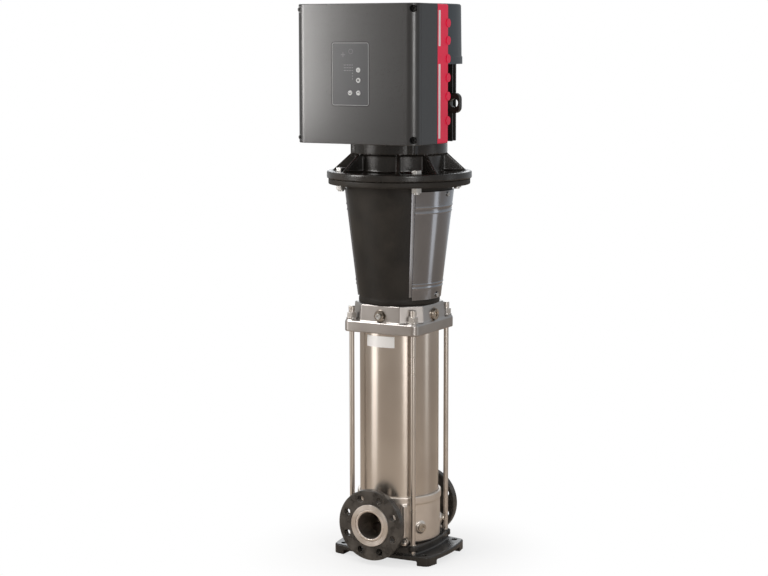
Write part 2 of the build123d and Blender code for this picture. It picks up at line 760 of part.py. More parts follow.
# Pump head: a square band with an eight-sided upper part, so that each staybolt's nut
# stands in an open corner
head_bore = seal_bore_dia / 2
pad_half = head_half - casting_edge * 1.5
with BuildPart() as pump_head:
    with BuildSketch(Plane.XY.offset(head_z)):
        RectangleRounded(2 * head_half, 2 * head_half, head_corner)
    extrude(amount=head_band_height)
    chamfer(pump_head.edges().group_by(Axis.Z)[-1], casting_edge * 1.5)
    chamfer(pump_head.edges().group_by(Axis.Z)[0], casting_edge)
    with BuildSketch(Plane.XY.offset(band_z - 1)) as upper_outline:
        Rectangle(2 * head_top_half, 2 * head_top_half)
        chamfer(upper_outline.vertices(), pocket_cut)
    extrude(amount=head_top_height + 1, taper=head_draft)
    chamfer(pump_head.faces().sort_by(Axis.Z)[-1].edges(), casting_edge)
    with BuildSketch(Plane.XY.offset(band_z - 1)):
        with GridLocations(2 * stay_offset, 2 * stay_offset, 2, 2):
            Circle(washer_dia / 2 + 1)
        RectangleRounded(2 * pad_half, 2 * pad_half, head_corner - casting_edge * 1.5, mode=Mode.INTERSECT)
    extrude(amount=nut_pad_height + 1)
    with BuildSketch(Plane.XY.offset(nut_z)):
        with GridLocations(2 * stay_offset, 2 * stay_offset, 2, 2):
            Circle(washer_dia / 2 + 1)
    extrude(amount=head_top_height, mode=Mode.SUBTRACT)
    with BuildSketch(Plane.XY.offset(head_z)):
        Circle(head_cavity_dia / 2)
    extrude(amount=head_top_z - head_roof - head_z, mode=Mode.SUBTRACT)
    with BuildSketch(Plane.XY.offset(head_z)):
        Circle(sleeve_radius)
        Circle(sleeve_radius - sleeve_wall, mode=Mode.SUBTRACT)
    extrude(amount=sleeve_seat, mode=Mode.SUBTRACT)
    with Locations((0, 0, head_top_z)):
        Hole(head_bore, depth=head_roof)
        with PolarLocations(stool_screw_circle_dia / 2, 4, 45):
            Hole(stool_screw_dia / 2, depth=stool_screw_depth)
    with Locations((0, 0, nut_z)):
        with GridLocations(2 * stay_offset, 2 * stay_offset, 2, 2):
            Hole(stay_thread_dia / 2 + bolt_clear, depth=head_band_height + nut_pad_height)
    for plug_plane in (Plane.XZ, Plane.YZ):
        with BuildSketch(plug_plane.offset(head_cavity_dia / 2 - plug_flange)):
            with Locations((0, plug_z)):
                Circle(plug_thread_dia / 2)
        extrude(amount=head_half, mode=Mode.SUBTRACT)
        with BuildSketch(plug_plane.offset(head_top_half - plug_flange)):
            with Locations((0, plug_z)):
                Circle(plug_dia / 2 + plug_room)
        extrude(amount=head_half, mode=Mode.SUBTRACT)
write(pump_head, "pump_head")

# Staybolts: four long bolts from the base plate's bosses up through the head
stay_low_z = seat_z - stay_thread_length
stay_top_z = nut_z + stay_tip + nut_height
with BuildPart() as staybolt:
    with BuildSketch(Plane.XY.offset(stay_low_z)):
        Circle(stay_thread_dia / 2)
    extrude(amount=stay_thread_length + stay_thread_run)
    with BuildSketch(Plane.XY.offset(seat_z)):
        Circle(stay_shank_dia / 2)
    extrude(amount=head_z - seat_z + stay_thread_length)
    with BuildSketch(Plane.XY.offset(head_z + stay_thread_run)):
        Circle(stay_thread_dia / 2)
    extrude(amount=stay_top_z - head_z - stay_thread_run)
    chamfer(staybolt.edges().group_by(Axis.Z)[-1], 1.5)
with BuildPart() as staybolts:
    with Locations(*[(x, y, 0) for x, y in stay_spots]):
        add(staybolt.part)
write(staybolts, "staybolts")

# Staybolt washers and nuts
with BuildPart() as staybolt_washers:
    with BuildSketch(Plane.XY.offset(nut_z)):
        with Locations(*stay_spots):
            Circle(washer_dia / 2)
            Circle(stay_thread_dia / 2, mode=Mode.SUBTRACT)
    extrude(amount=washer_thick)
write(staybolt_washers, "staybolt_washers")
with BuildPart() as staybolt_nuts:
    with BuildSketch(Plane.XY.offset(nut_z + washer_thick)):
        with Locations(*stay_spots):
            RegularPolygon(nut_flats / 2, 6, major_radius=False)
            Circle(stay_thread_dia / 2, mode=Mode.SUBTRACT)
    extrude(amount=nut_height)
write(staybolt_nuts, "staybolt_nuts")

# Vent plug: a flanged body in the head's front, with an outlet nub beside its screw
vent_seat = head_top_half - plug_flange
vent_face = vent_seat + plug_flange + plug_head
with BuildPart() as vent_plug:
    with BuildSketch(Plane.XZ.offset(vent_seat)):
        with Locations((0, plug_z)):
            Circle(plug_dia / 2)
    extrude(amount=plug_flange)
    with BuildSketch(Plane.XZ.offset(vent_seat)):
        with Locations((0, plug_z)):
            RegularPolygon(plug_flats / 2, 6, major_radius=False)
    extrude(amount=plug_flange + plug_head)
    with BuildSketch(Plane.XZ.offset(vent_seat)):
        with Locations((0, plug_z)):
            Circle(plug_thread_dia / 2)
    extrude(amount=-plug_thread_length)
    with BuildSketch(Plane.XZ.offset(vent_seat + plug_flange)):
        with Locations((vent_nub_x, plug_z - vent_nub_drop)):
            Circle(vent_nub_dia / 2)
    extrude(amount=plug_head + vent_nub)
    with BuildSketch(Plane.XZ.offset(vent_face)):
        with Locations((0, plug_z)):
            Circle(vent_screw_dia / 2 + run_gap)
    extrude(amount=-(plug_head + plug_flange + plug_thread_length / 2), mode=Mode.SUBTRACT)
write(vent_plug, "vent_plug")

# Vent screw: the small screw that is turned by hand or key to let air out
with BuildPart() as vent_screw:
    with BuildSketch(Plane.XZ.offset(vent_face + clear)):
        with Locations((0, plug_z)):
            Circle(vent_head_dia / 2)
    extrude(amount=vent_head)
    with BuildSketch(Plane.XZ.offset(vent_face + clear + vent_head)):
        with Locations((0, plug_z)):
            RegularPolygon(vent_socket_radius, 6)
    extrude(amount=-vent_socket_depth, mode=Mode.SUBTRACT)
    with BuildSketch(Plane.XZ.offset(vent_face + clear)):
        with Locations((0, plug_z)):
            Circle(vent_screw_dia / 2)
    extrude(amount=-(plug_head + plug_flange))
write(vent_screw, "vent_screw")

# Priming plug: the plain plug in the head's +X side
with BuildPart() as priming_plug:
    with Locations(Plane.YZ.offset(vent_seat)):
        with Locations((0, plug_z, 0)):
            add(socket_screw(plug_thread_dia, plug_thread_length, plug_dia, plug_flange + plug_head))
write(priming_plug, "priming_plug")

# Seal carrier: the plate on the head's top that holds the stationary ring of the shaft seal
seal_face_z = head_top_z - head_roof
with BuildPart() as seal_carrier:
    add(ring(carrier_dia / 2, shaft_radius + shaft_space, head_top_z, head_top_z + carrier_thick))
    add(ring(head_bore, shaft_radius + shaft_space, seal_face_z, head_top_z))
    with BuildSketch(Plane.XY.offset(seal_face_z)):
        Circle(seat_ring_dia / 2)
    extrude(amount=seat_ring_height, mode=Mode.SUBTRACT)
write(seal_carrier, "seal_carrier")
with BuildPart() as seal_seat:
    add(ring(seat_ring_dia / 2, shaft_radius + shaft_space, seal_face_z, seal_face_z + seat_ring_height))
write(seal_seat, "seal_seat")

# Seal head: the turning half of the shaft seal, in its driver on the shaft
with BuildPart() as seal_head:
    add(ring(seal_ring_dia / 2, shaft_radius, seal_face_z - clear - seal_ring_height, seal_face_z - clear))
    chamfer(seal_head.edges().group_by(Axis.Z)[-1].sort_by(SortBy.RADIUS)[-1], seal_ring_edge)
write(seal_head, "seal_head")

# Motor stool: a tapering cast lantern with a window on each side
with BuildPart() as motor_stool:
    with BuildSketch(Plane.XZ):
        with BuildLine():
            Polyline(
                (stool_floor_hole / 2, head_top_z),
                (stool_foot_dia / 2, head_top_z),
                (stool_foot_dia / 2, head_top_z + stool_foot_height),
                (stool_low_dia / 2, head_top_z + stool_foot_height),
                (stool_top_dia / 2, stool_top_z - stool_flange_thick),
                (stool_flange_dia / 2, stool_top_z - stool_flange_thick),
                (stool_flange_dia / 2, stool_top_z),
                (stool_top_dia / 2 - stool_wall, stool_top_z),
                (stool_low_dia / 2 - stool_wall, head_top_z + stool_foot_height),
                (stool_floor_hole / 2, head_top_z + stool_foot_height),
                close=True,
            )
        make_face()
    revolve(axis=Axis.Z)
    with BuildSketch(side_plane(guard_turn, 0)):
        with BuildLine():
            Polyline(
                (-window_half_low, head_top_z + window_low),
                (window_half_low, head_top_z + window_low),
                (window_half_top, head_top_z + window_high),
                (-window_half_top, head_top_z + window_high),
                close=True,
            )
        make_face()
    extrude(amount=stool_flange_dia / 2, both=True, mode=Mode.SUBTRACT)
    for rise in (guard_low + guard_screw_inset, guard_high - guard_screw_inset):
        with BuildSketch(Plane.YZ):
            with Locations((0, head_top_z + rise)):
                Circle(guard_screw_dia / 2)
        extrude(amount=stool_flange_dia / 2, both=True, mode=Mode.SUBTRACT)
    with Locations((0, 0, stool_top_z)):
        with PolarLocations(motor_bolt_circle_dia / 2, 4, 45):
            Hole(motor_bolt_dia / 2 + bolt_clear, depth=stool_flange_thick)
    with Locations((0, 0, head_top_z + stool_foot_height)):
        with PolarLocations(stool_screw_circle_dia / 2, 4, 45):
            Hole(stool_screw_dia / 2 + bolt_clear, depth=stool_foot_height)
write(motor_stool, "motor_stool")

# Stool screws: socket screws inside the stool's foot, down into the head
stool_screw_length = stool_foot_height + stool_screw_depth - 1
stool_screw = socket_screw(stool_screw_dia, stool_screw_length, 1.5 * stool_screw_dia, stool_screw_dia)
with BuildPart() as stool_screws:
    with Locations((0, 0, head_top_z + stool_foot_height)):
        with PolarLocations(stool_screw_circle_dia / 2, 4, 45):
            add(stool_screw)
write(stool_screws, "stool_screws")

# Coupling guards: curved sheets over the stool's windows, with pressed beads near each end
stool_slope = (stool_top_dia - stool_low_dia) / 2 / (stool_height - stool_foot_height - stool_flange_thick)


def stool_radius(rise):
    """The stool's outside radius at this height above the pump head."""
    return stool_low_dia / 2 + stool_slope * (rise - stool_foot_height)


guard_screw_rises = (guard_low + guard_screw_inset, guard_high - guard_screw_inset)


def guard_band(turn, arc, outline):
    """Part of a guard: an outline of radius and height, turned through this arc about a side."""
    with BuildPart() as made:
        with BuildSketch(upright_plane(turn)):
            with BuildLine():
                Polyline(*outline, close=True)
            make_face()
        revolve(axis=Axis.Z, revolution_arc=arc)
    return made.part


def stool_point(rise, stand):
    """A point of an upright outline, this far outside the stool's surface."""
    return (stool_radius(rise) + stand, head_top_z + rise)


guard_outer = []
for rise in guard_bead_rises:
    for step, bulge in ((-guard_bead_half, 0), (0, guard_bead), (guard_bead_half, 0)):
        guard_outer.append(stool_point(rise + step, guard_stand + guard_thick + bulge))
sheet_outline = [
    stool_point(guard_low, guard_stand),
    stool_point(guard_low, guard_stand + guard_thick),
    *guard_outer,
    stool_point(guard_high, guard_stand + guard_thick),
    stool_point(guard_high, guard_stand),
]
strip_low = guard_low + guard_corner_cut
strip_outline = [
    stool_point(strip_low, 0),
    stool_point(strip_low, guard_thick),
    stool_point(guard_high, guard_thick),
    stool_point(guard_high, 0),
]
wall_outline = [
    stool_point(guard_low, 0),
    stool_point(guard_low, guard_stand + guard_thick),
    stool_point(guard_high, guard_stand + guard_thick),
    stool_point(guard_high, 0),
]
wall_arc = degrees(guard_thick / stool_radius(guard_low))
for middle, guard_name in ((0, "coupling_guard_right"), (180, "coupling_guard_left")):
    first = middle + guard_turn - guard_wrap / 2
    last = middle + guard_turn + guard_wrap / 2
    with BuildPart() as coupling_guard:
        add(guard_band(first, guard_strip, strip_outline))
        add(guard_band(last - guard_strip, guard_strip, strip_outline))
        add(guard_band(first + guard_strip, wall_arc, wall_outline))
        add(guard_band(last - guard_strip - wall_arc, wall_arc, wall_outline))
        add(guard_band(first + guard_strip, guard_wrap - 2 * guard_strip, sheet_outline))
        with BuildSketch(side_plane(middle, head_top_z + guard_screw_rises[0])):
            Circle(guard_keyhole_dia / 2)
            with Locations((0, guard_screw_dia)):
                Circle(guard_screw_dia / 2 + clear)
        extrude(amount=stool_top_dia, mode=Mode.SUBTRACT)
        with BuildSketch(side_plane(middle, head_top_z + guard_screw_rises[1])):
            Circle(guard_screw_dia / 2 + clear)
        extrude(amount=stool_top_dia, mode=Mode.SUBTRACT)
    write(coupling_guard, guard_name)

# Guard screws: a screw near the foot, in a keyhole, and one near the top of each guard
guard_screw_length = guard_stand + guard_thick + stool_wall / 2
guard_screw_lift = stool_slope * guard_screw_dia  # the seat's slope lifts one side of the head
guard_screw = socket_screw(guard_screw_dia, guard_screw_length, 2 * guard_screw_dia, guard_screw_dia / 2)
with BuildPart() as guard_screws:
    for middle in (0, 180):
        for rise in guard_screw_rises:
            screw_seat = stool_radius(rise) + guard_stand + guard_thick + guard_screw_lift
            add(side_plane(middle, head_top_z + rise).offset(screw_seat).location * guard_screw)
write(guard_screws, "guard_screws")

# Coupling halves: two half shells that clamp the pump shaft and the motor shaft
coupling_radius = coupling_dia / 2
coupling_mid_z = (coupling_z + coupling_top_z) / 2
screw_levels = (coupling_z + coupling_screw_inset, coupling_top_z - coupling_screw_inset)
screw_spots = [(side * coupling_screw_offset, z) for side in (-1, 1) for z in screw_levels]
with BuildPart() as coupling_halves:
    with BuildSketch(Plane.XY.offset(coupling_z)):
        Circle(coupling_radius)
        Circle(shaft_radius, mode=Mode.SUBTRACT)
        Rectangle(coupling_split, coupling_dia, mode=Mode.SUBTRACT)
    extrude(amount=coupling_length)
    with BuildSketch(Plane.XY.offset(coupling_mid_z)):
        Circle(motor_shaft_radius)
    extrude(amount=coupling_length / 2, mode=Mode.SUBTRACT)
    with BuildSketch(Plane.YZ.offset(coupling_screw_seat)):
        with Locations(*screw_spots):
            Circle(coupling_screw_dia)
    extrude(amount=coupling_radius, mode=Mode.SUBTRACT)
    with BuildSketch(Plane.YZ):
        with Locations(*screw_spots):
            Circle(coupling_screw_dia / 2)
    extrude(amount=coupling_radius, both=True, mode=Mode.SUBTRACT)
write(coupling_halves, "coupling_halves")

# Coupling screws: socket screws across the split, with their heads in the +X half
coupling_screw = socket_screw(
    coupling_screw_dia, 2 * coupling_screw_seat, 1.5 * coupling_screw_dia, coupling_screw_dia
)
with BuildPart() as coupling_screws:
    with Locations(Plane.YZ.offset(coupling_screw_seat)):
        with Locations(*[(y, z, 0) for y, z in screw_spots]):
            add(coupling_screw)
write(coupling_screws, "coupling_screws")

# Drive-end shield: the motor's cast lower end, a drum with a pair of gussets beside each
# flange bolt, a cap under the motor with four bosses, and the bearing's housing inside
drum_radius = shield_drum_dia / 2
drum_inner = drum_radius - shield_drum_wall
cap_radius = shield_cap_dia / 2
cap_low_z = motor_z - shield_cap_thick
bearing_radius = bearing_dia / 2
housing_radius = bearing_radius + bearing_housing_wall
bearing_low_z = motor_z - bearing_lip - bearing_width
gusset_turns = [bolt + side * gusset_turn for bolt in (45, 135, 225, 315) for side in (-1, 1)]
foot_radius_out = motor_flange_dia / 2 - gusset_foot_inset
with BuildPart() as drive_end_shield:
    add(ring(motor_flange_dia / 2, bearing_radius - bearing_lip, stool_top_z, shield_z))
    chamfer(drive_end_shield.edges().group_by(Axis.Z)[-1].sort_by(SortBy.RADIUS)[-1], casting_edge)
    add(ring(drum_inner, 0, stool_top_z + shield_floor, shield_z), mode=Mode.SUBTRACT)
    add(ring(drum_radius, drum_inner, shield_z - 1, motor_z))
    add(ring(cap_radius, drum_inner, cap_low_z, motor_z))
    chamfer(drive_end_shield.edges().group_by(Axis.Z)[-1].sort_by(SortBy.RADIUS)[-1], casting_edge)
    add(ring(drum_inner + 1, bearing_radius, motor_z - shield_roof, motor_z))
    add(ring(housing_radius, bearing_radius, bearing_low_z, motor_z))
    add(ring(housing_radius, bearing_radius - bearing_lip, bearing_low_z - bearing_lip, bearing_low_z))
    with BuildSketch(Plane.XY.offset(cap_low_z)):
        with PolarLocations(tie_boss_circle_dia / 2, 4, 45):
            Circle(tie_boss_dia / 2)
        Circle(drum_radius - 1, mode=Mode.SUBTRACT)
    extrude(amount=shield_cap_thick)
    for angle in gusset_turns:
        with BuildSketch(upright_plane(angle)):
            with BuildLine():
                Polyline(
                    (drum_radius - 2, shield_z - 1),
                    (foot_radius_out, shield_z - 1),
                    (foot_radius_out, shield_z + gusset_toe),
                    (cap_radius - 1, cap_low_z + gusset_toe),
                    (drum_radius - 2, cap_low_z + gusset_toe),
                    close=True,
                )
            make_face()
        extrude(amount=gusset_thick / 2, both=True)
    with Locations((0, 0, shield_z)):
        with PolarLocations(motor_bolt_circle_dia / 2, 4, 45):
            Hole(motor_bolt_dia / 2 + bolt_clear, depth=motor_flange_thick)
write(drive_end_shield, "drive_end_shield")

# Flange bolts and nuts: four bolts down through the shield's flange and the stool's
bolt_grip = motor_flange_thick + stool_flange_thick
flange_bolt = hex_bolt(motor_bolt_dia, bolt_grip + nut_height + bolt_tip, nut_flats, bolt_head_height)
with BuildPart() as flange_bolts:
    with Locations(*[(x, y, shield_z) for x, y in motor_bolt_spots]):
        add(flange_bolt)
write(flange_bolts, "flange_bolts")
with BuildPart() as flange_nuts:
    with BuildSketch(Plane.XY.offset(stool_top_z - stool_flange_thick)):
        with Locations(*motor_bolt_spots):
            RegularPolygon(nut_flats / 2, 6, major_radius=False)
            Circle(motor_bolt_dia / 2, mode=Mode.SUBTRACT)
    extrude(amount=-nut_height)
write(flange_nuts, "flange_nuts")

# Motor bearings: sealed ball bearings, drawn as their closed outer rings. The shaft turns in
# them with a running gap that stands for the balls.
small_bearing_z = fan_shield_z - small_bearing_width
with BuildPart() as motor_bearings:
    add(ring(bearing_radius, bearing_bore_dia / 2 + run_gap, bearing_low_z, bearing_low_z + bearing_width))
    add(ring(small_bearing_dia / 2, small_bearing_bore_dia / 2 + run_gap, small_bearing_z, fan_shield_z))
write(motor_bearings, "motor_bearings")

# Stator frame: the motor's cast housing with fins along it
frame_body = frame_body_dia / 2
with BuildPart() as stator_frame:
    with BuildSketch(Plane.XY.offset(motor_z)):
        Circle(frame_body)
        with PolarLocations(frame_body, fin_count, 180 / fin_count):
            Rectangle(fin_dia - frame_body_dia, fin_thick)
        Circle(fin_dia / 2, mode=Mode.INTERSECT)
        Circle(frame_bore_dia / 2, mode=Mode.SUBTRACT)
    extrude(amount=frame_height)
write(stator_frame, "stator_frame")

# Stator core and windings
core_z = motor_z + core_low
with BuildPart() as stator_core:
    add(ring(frame_bore_dia / 2, stator_bore_dia / 2, core_z, core_z + core_height))
write(stator_core, "stator_core")
with BuildPart() as windings:
    for z in (core_z - winding_height, core_z + core_height):
        add(ring(winding_outer_dia / 2, winding_inner_dia / 2, z, z + winding_height))
write(windings, "windings")

# Rotor core: the magnet rotor, pressed on the motor shaft
motor_shaft_mid = bearing_bore_dia / 2 + shaft_shoulder
with BuildPart() as rotor_core:
    add(ring(stator_bore_dia / 2 - air_gap, motor_shaft_mid, core_z, core_z + core_height))
write(rotor_core, "rotor_core")

# Motor shaft: stepped to its bearings, down into the coupling and up to the fan
fan_shaft_radius = small_bearing_bore_dia / 2 - shaft_step
fan_top_z = fan_z + fan_disc_thick + fan_blade_height
shoulder_z = bearing_low_z + bearing_width + shaft_step
with BuildPart() as motor_shaft:
    add(ring(motor_shaft_radius, 0, motor_shaft_low_z, bearing_low_z - bearing_lip))
    add(ring(bearing_bore_dia / 2, 0, bearing_low_z - bearing_lip, shoulder_z))
    add(ring(motor_shaft_mid, 0, shoulder_z, small_bearing_z - shaft_step))
    add(ring(small_bearing_bore_dia / 2, 0, small_bearing_z - shaft_step, fan_shield_z + shaft_step))
    add(ring(fan_shaft_radius, 0, fan_shield_z + shaft_step, fan_top_z))
    chamfer(motor_shaft.edges().group_by(Axis.Z)[0], 1.5)
write(motor_shaft, "motor_shaft")

# Fan-end shield: the motor's upper end, with four lugs that the fan cover is screwed to
lug_rise = cover_screw_rise + cover_screw_dia
fan_housing_radius = small_bearing_dia / 2 + bearing_housing_wall
lug_reach = sqrt((fan_cover_dia / 2 - fan_cover_wall) ** 2 - cover_lug_width**2 / 4) - clear
with BuildPart() as fan_end_shield:
    add(ring(fan_shield_dia / 2, small_bearing_dia / 2, frame_top_z, fan_shield_z))
    add(ring(fan_housing_radius, small_bearing_dia / 2, small_bearing_z, frame_top_z))
    cap_bore = small_bearing_bore_dia / 2 + shaft_space
    add(ring(fan_housing_radius, cap_bore, fan_shield_z, fan_shield_z + bearing_cap))
    for turn in cover_screw_angles:
        lug_plane = side_plane(turn, frame_top_z + lug_rise / 2)
        with BuildSketch(lug_plane.offset(fan_shield_dia / 2 - cover_lug_depth)):
            Rectangle(cover_lug_width, lug_rise)
        extrude(amount=lug_reach - fan_shield_dia / 2 + cover_lug_depth)
        with BuildSketch(lug_plane.offset(lug_reach - cover_screw_length)):
            Circle(cover_screw_dia / 2)
        extrude(amount=cover_screw_length, mode=Mode.SUBTRACT)
write(fan_end_shield, "fan_end_shield")

# Cooling fan: radial blades on a disc, pressed on the shaft's top
fan_radius = fan_dia / 2
with BuildPart() as cooling_fan:
    add(ring(fan_radius, fan_shaft_radius, fan_z, fan_z + fan_disc_thick))
    add(ring(fan_hub_dia / 2, fan_shaft_radius, fan_z, fan_top_z))
    with BuildSketch(Plane.XY.offset(fan_z + fan_disc_thick)):
        with PolarLocations((fan_radius + fan_hub_dia / 2) / 2, fan_blade_count):
            Rectangle(fan_radius - fan_hub_dia / 2 + 4, fan_disc_thick)
    extrude(amount=fan_blade_height)
write(cooling_fan, "cooling_fan")

# Fan cover: a pressed cowl with slots in its top, where the cooling air comes in
cover_radius = fan_cover_dia / 2
cover_top_radius = fan_cover_top_dia / 2
cover_step_z = frame_top_z + fan_cover_rim + fan_cover_step
with BuildPart() as fan_cover:
    with BuildSketch(Plane.XZ):
        with BuildLine():
            Polyline(
                (cover_radius - fan_cover_wall, frame_top_z),
                (cover_radius, frame_top_z),
                (cover_radius, frame_top_z + fan_cover_rim),
                (cover_radius - fan_cover_step, cover_step_z),
                (cover_top_radius, fan_cover_z - fan_cover_edge),
                (cover_top_radius - fan_cover_edge, fan_cover_z),
                (0, fan_cover_z),
                (0, fan_cover_z - fan_cover_wall),
                (cover_top_radius - fan_cover_edge - 1, fan_cover_z - fan_cover_wall),
                (cover_top_radius - fan_cover_wall, fan_cover_z - fan_cover_edge - 1),
                (cover_radius - fan_cover_step - fan_cover_wall, cover_step_z),
                (cover_radius - fan_cover_wall, frame_top_z + fan_cover_rim),
                close=True,
            )
        make_face()
    revolve(axis=Axis.Z)
    with BuildSketch(Plane.XY.offset(fan_cover_z - fan_cover_wall - 1)):
        for row in range(grille_ring_count):
            row_radius = fan_hub_dia / 2 + grille_first + row * (grille_slot_length + grille_gap)
            with PolarLocations(row_radius, grille_slot_count):
                Rectangle(grille_slot_length, grille_slot_width)
    extrude(amount=fan_cover_wall + 2, mode=Mode.SUBTRACT)
    for turn in cover_screw_angles:
        with BuildSketch(side_plane(turn, frame_top_z + lug_rise / 2).offset(fan_shield_dia / 2)):
            Circle(cover_screw_dia / 2)
        extrude(amount=fan_cover_dia, mode=Mode.SUBTRACT)
write(fan_cover, "fan_cover")

# Fan cover screws: four screws through the cowl's rim into the lugs
cover_screw = socket_screw(cover_screw_dia, cover_screw_length, 2 * cover_screw_dia, cover_screw_dia / 2)
with BuildPart() as fan_cover_screws:
    for turn in cover_screw_angles:
        add(side_plane(turn, frame_top_z + lug_rise / 2).offset(cover_radius).location * cover_screw)
write(fan_cover_screws, "fan_cover_screws")

# Lifting eyes: two cast eyes that stand on the motor's body between two of its fins
eye_z = motor_z + frame_height / 2
eye_centre = fin_dia / 2 + eye_reach / 2 - eye_sink
with BuildPart() as lifting_eyes:
    for side in (-1, 1):
        with BuildSketch(Plane.XZ):
            with Locations((side * eye_centre, eye_z)):
                SlotCenterToCenter(eye_height - eye_reach, eye_reach, rotation=90)
            with Locations((side * (eye_centre - eye_reach / 2), eye_z)):
                Rectangle(eye_reach, eye_neck)
            with Locations((side * eye_centre, eye_z)):
                Circle(eye_hole_dia / 2, mode=Mode.SUBTRACT)
        extrude(amount=eye_thick / 2, both=True)
    add(ring(frame_body, 0, motor_z, frame_top_z), mode=Mode.SUBTRACT)
write(lifting_eyes, "lifting_eyes")

# Drive frame: the box's rear half, moulded round the motor, with a row of closed cable
# knock-outs along each side's rear edge
saddle_low = fin_dia / 2 + clear
saddle_high = cover_radius + saddle_gap
step_z = frame_top_z - saddle_gap
box_top_z = box_z + box_height
inner_width = box_width - 2 * saddle_wall
with BuildPart() as frame_pocket:
    with BuildSketch(Plane.XZ.offset(frame_back + saddle_wall)):
        with Locations((0, box_mid_z)):
            Rectangle(inner_width, box_height - 2 * saddle_wall)
    extrude(amount=frame_depth)
    add(ring(saddle_low + saddle_wall, 0, box_z, step_z - saddle_wall), mode=Mode.SUBTRACT)
    add(ring(saddle_high + saddle_wall, 0, step_z - saddle_wall, box_top_z), mode=Mode.SUBTRACT)
    with Locations(Plane.XZ.offset(frame_back)):
        with Locations((0, box_mid_z, 0)):
            with GridLocations(box_width - 2 * corner_inset_x, box_height - 2 * corner_inset_z, 2, 2):
                Cylinder(corner_post_dia / 2, 3 * frame_depth, mode=Mode.SUBTRACT)
with BuildPart() as drive_frame:
    with BuildSketch(Plane.XZ.offset(frame_back)):
        with Locations((0, box_mid_z)):
            RectangleRounded(box_width, box_height, box_edge)
    extrude(amount=frame_depth)
    with BuildSketch(Plane.XY.offset(box_z)):
        Circle(saddle_low + saddle_wall)
        with Locations((0, -gasket_back - box_width / 2 + 1)):
            Rectangle(box_width, box_width, mode=Mode.INTERSECT)
    extrude(amount=step_z - box_z)
    with BuildSketch(Plane.XY.offset(step_z - saddle_wall)):
        Circle(saddle_high + saddle_wall)
        with Locations((0, -gasket_back - box_width / 2 + 1)):
            Rectangle(box_width, box_width, mode=Mode.INTERSECT)
    extrude(amount=box_top_z - step_z + saddle_wall)
    add(frame_pocket.part, mode=Mode.SUBTRACT)
    add(ring(saddle_low, 0, box_z - 1, step_z), mode=Mode.SUBTRACT)
    add(ring(saddle_high, 0, step_z, box_top_z + 1), mode=Mode.SUBTRACT)
    for side in (-1, 1):
        with BuildSketch(Plane.YZ.offset(side * (box_width / 2 - knob_depth))):
            with Locations(*[(-frame_back, box_z + rise) for rise in knob_heights]):
                Circle(knob_radius)
        extrude(amount=side * (knob_depth + knob_stand))
    with Locations(Plane.XZ.offset(gasket_back)):
        with Locations((0, box_mid_z, 0)):
            with GridLocations(box_width - 2 * corner_inset_x, box_height - 2 * corner_inset_z, 2, 2):
                Hole(cover_bolt_dia / 2, depth=cover_bolt_grip + 2)
write(drive_frame, "drive_frame")

# The room that the drive frame's moulded back takes up inside the gasket and the cover
with BuildPart() as saddle_room:
    add(ring(saddle_low + saddle_wall + clear, 0, box_z - 1, step_z - saddle_wall))
    add(ring(saddle_high + saddle_wall + clear, 0, step_z - saddle_wall - clear, box_top_z + 1))

# Cover gasket: a flat seal between the drive frame and the cover
gasket_open_x = box_width - 2 * box_wall
gasket_open_z = box_height - 2 * box_wall
with BuildPart() as cover_gasket:
    with BuildSketch(Plane.XZ.offset(gasket_back)):
        with Locations((0, box_mid_z)):
            RectangleRounded(box_width - 2 * gasket_inset, box_height - 2 * gasket_inset, box_edge)
            RectangleRounded(gasket_open_x, gasket_open_z, box_edge, mode=Mode.SUBTRACT)
    extrude(amount=gasket_thick)
    add(saddle_room.part, mode=Mode.SUBTRACT)
write(cover_gasket, "cover_gasket")

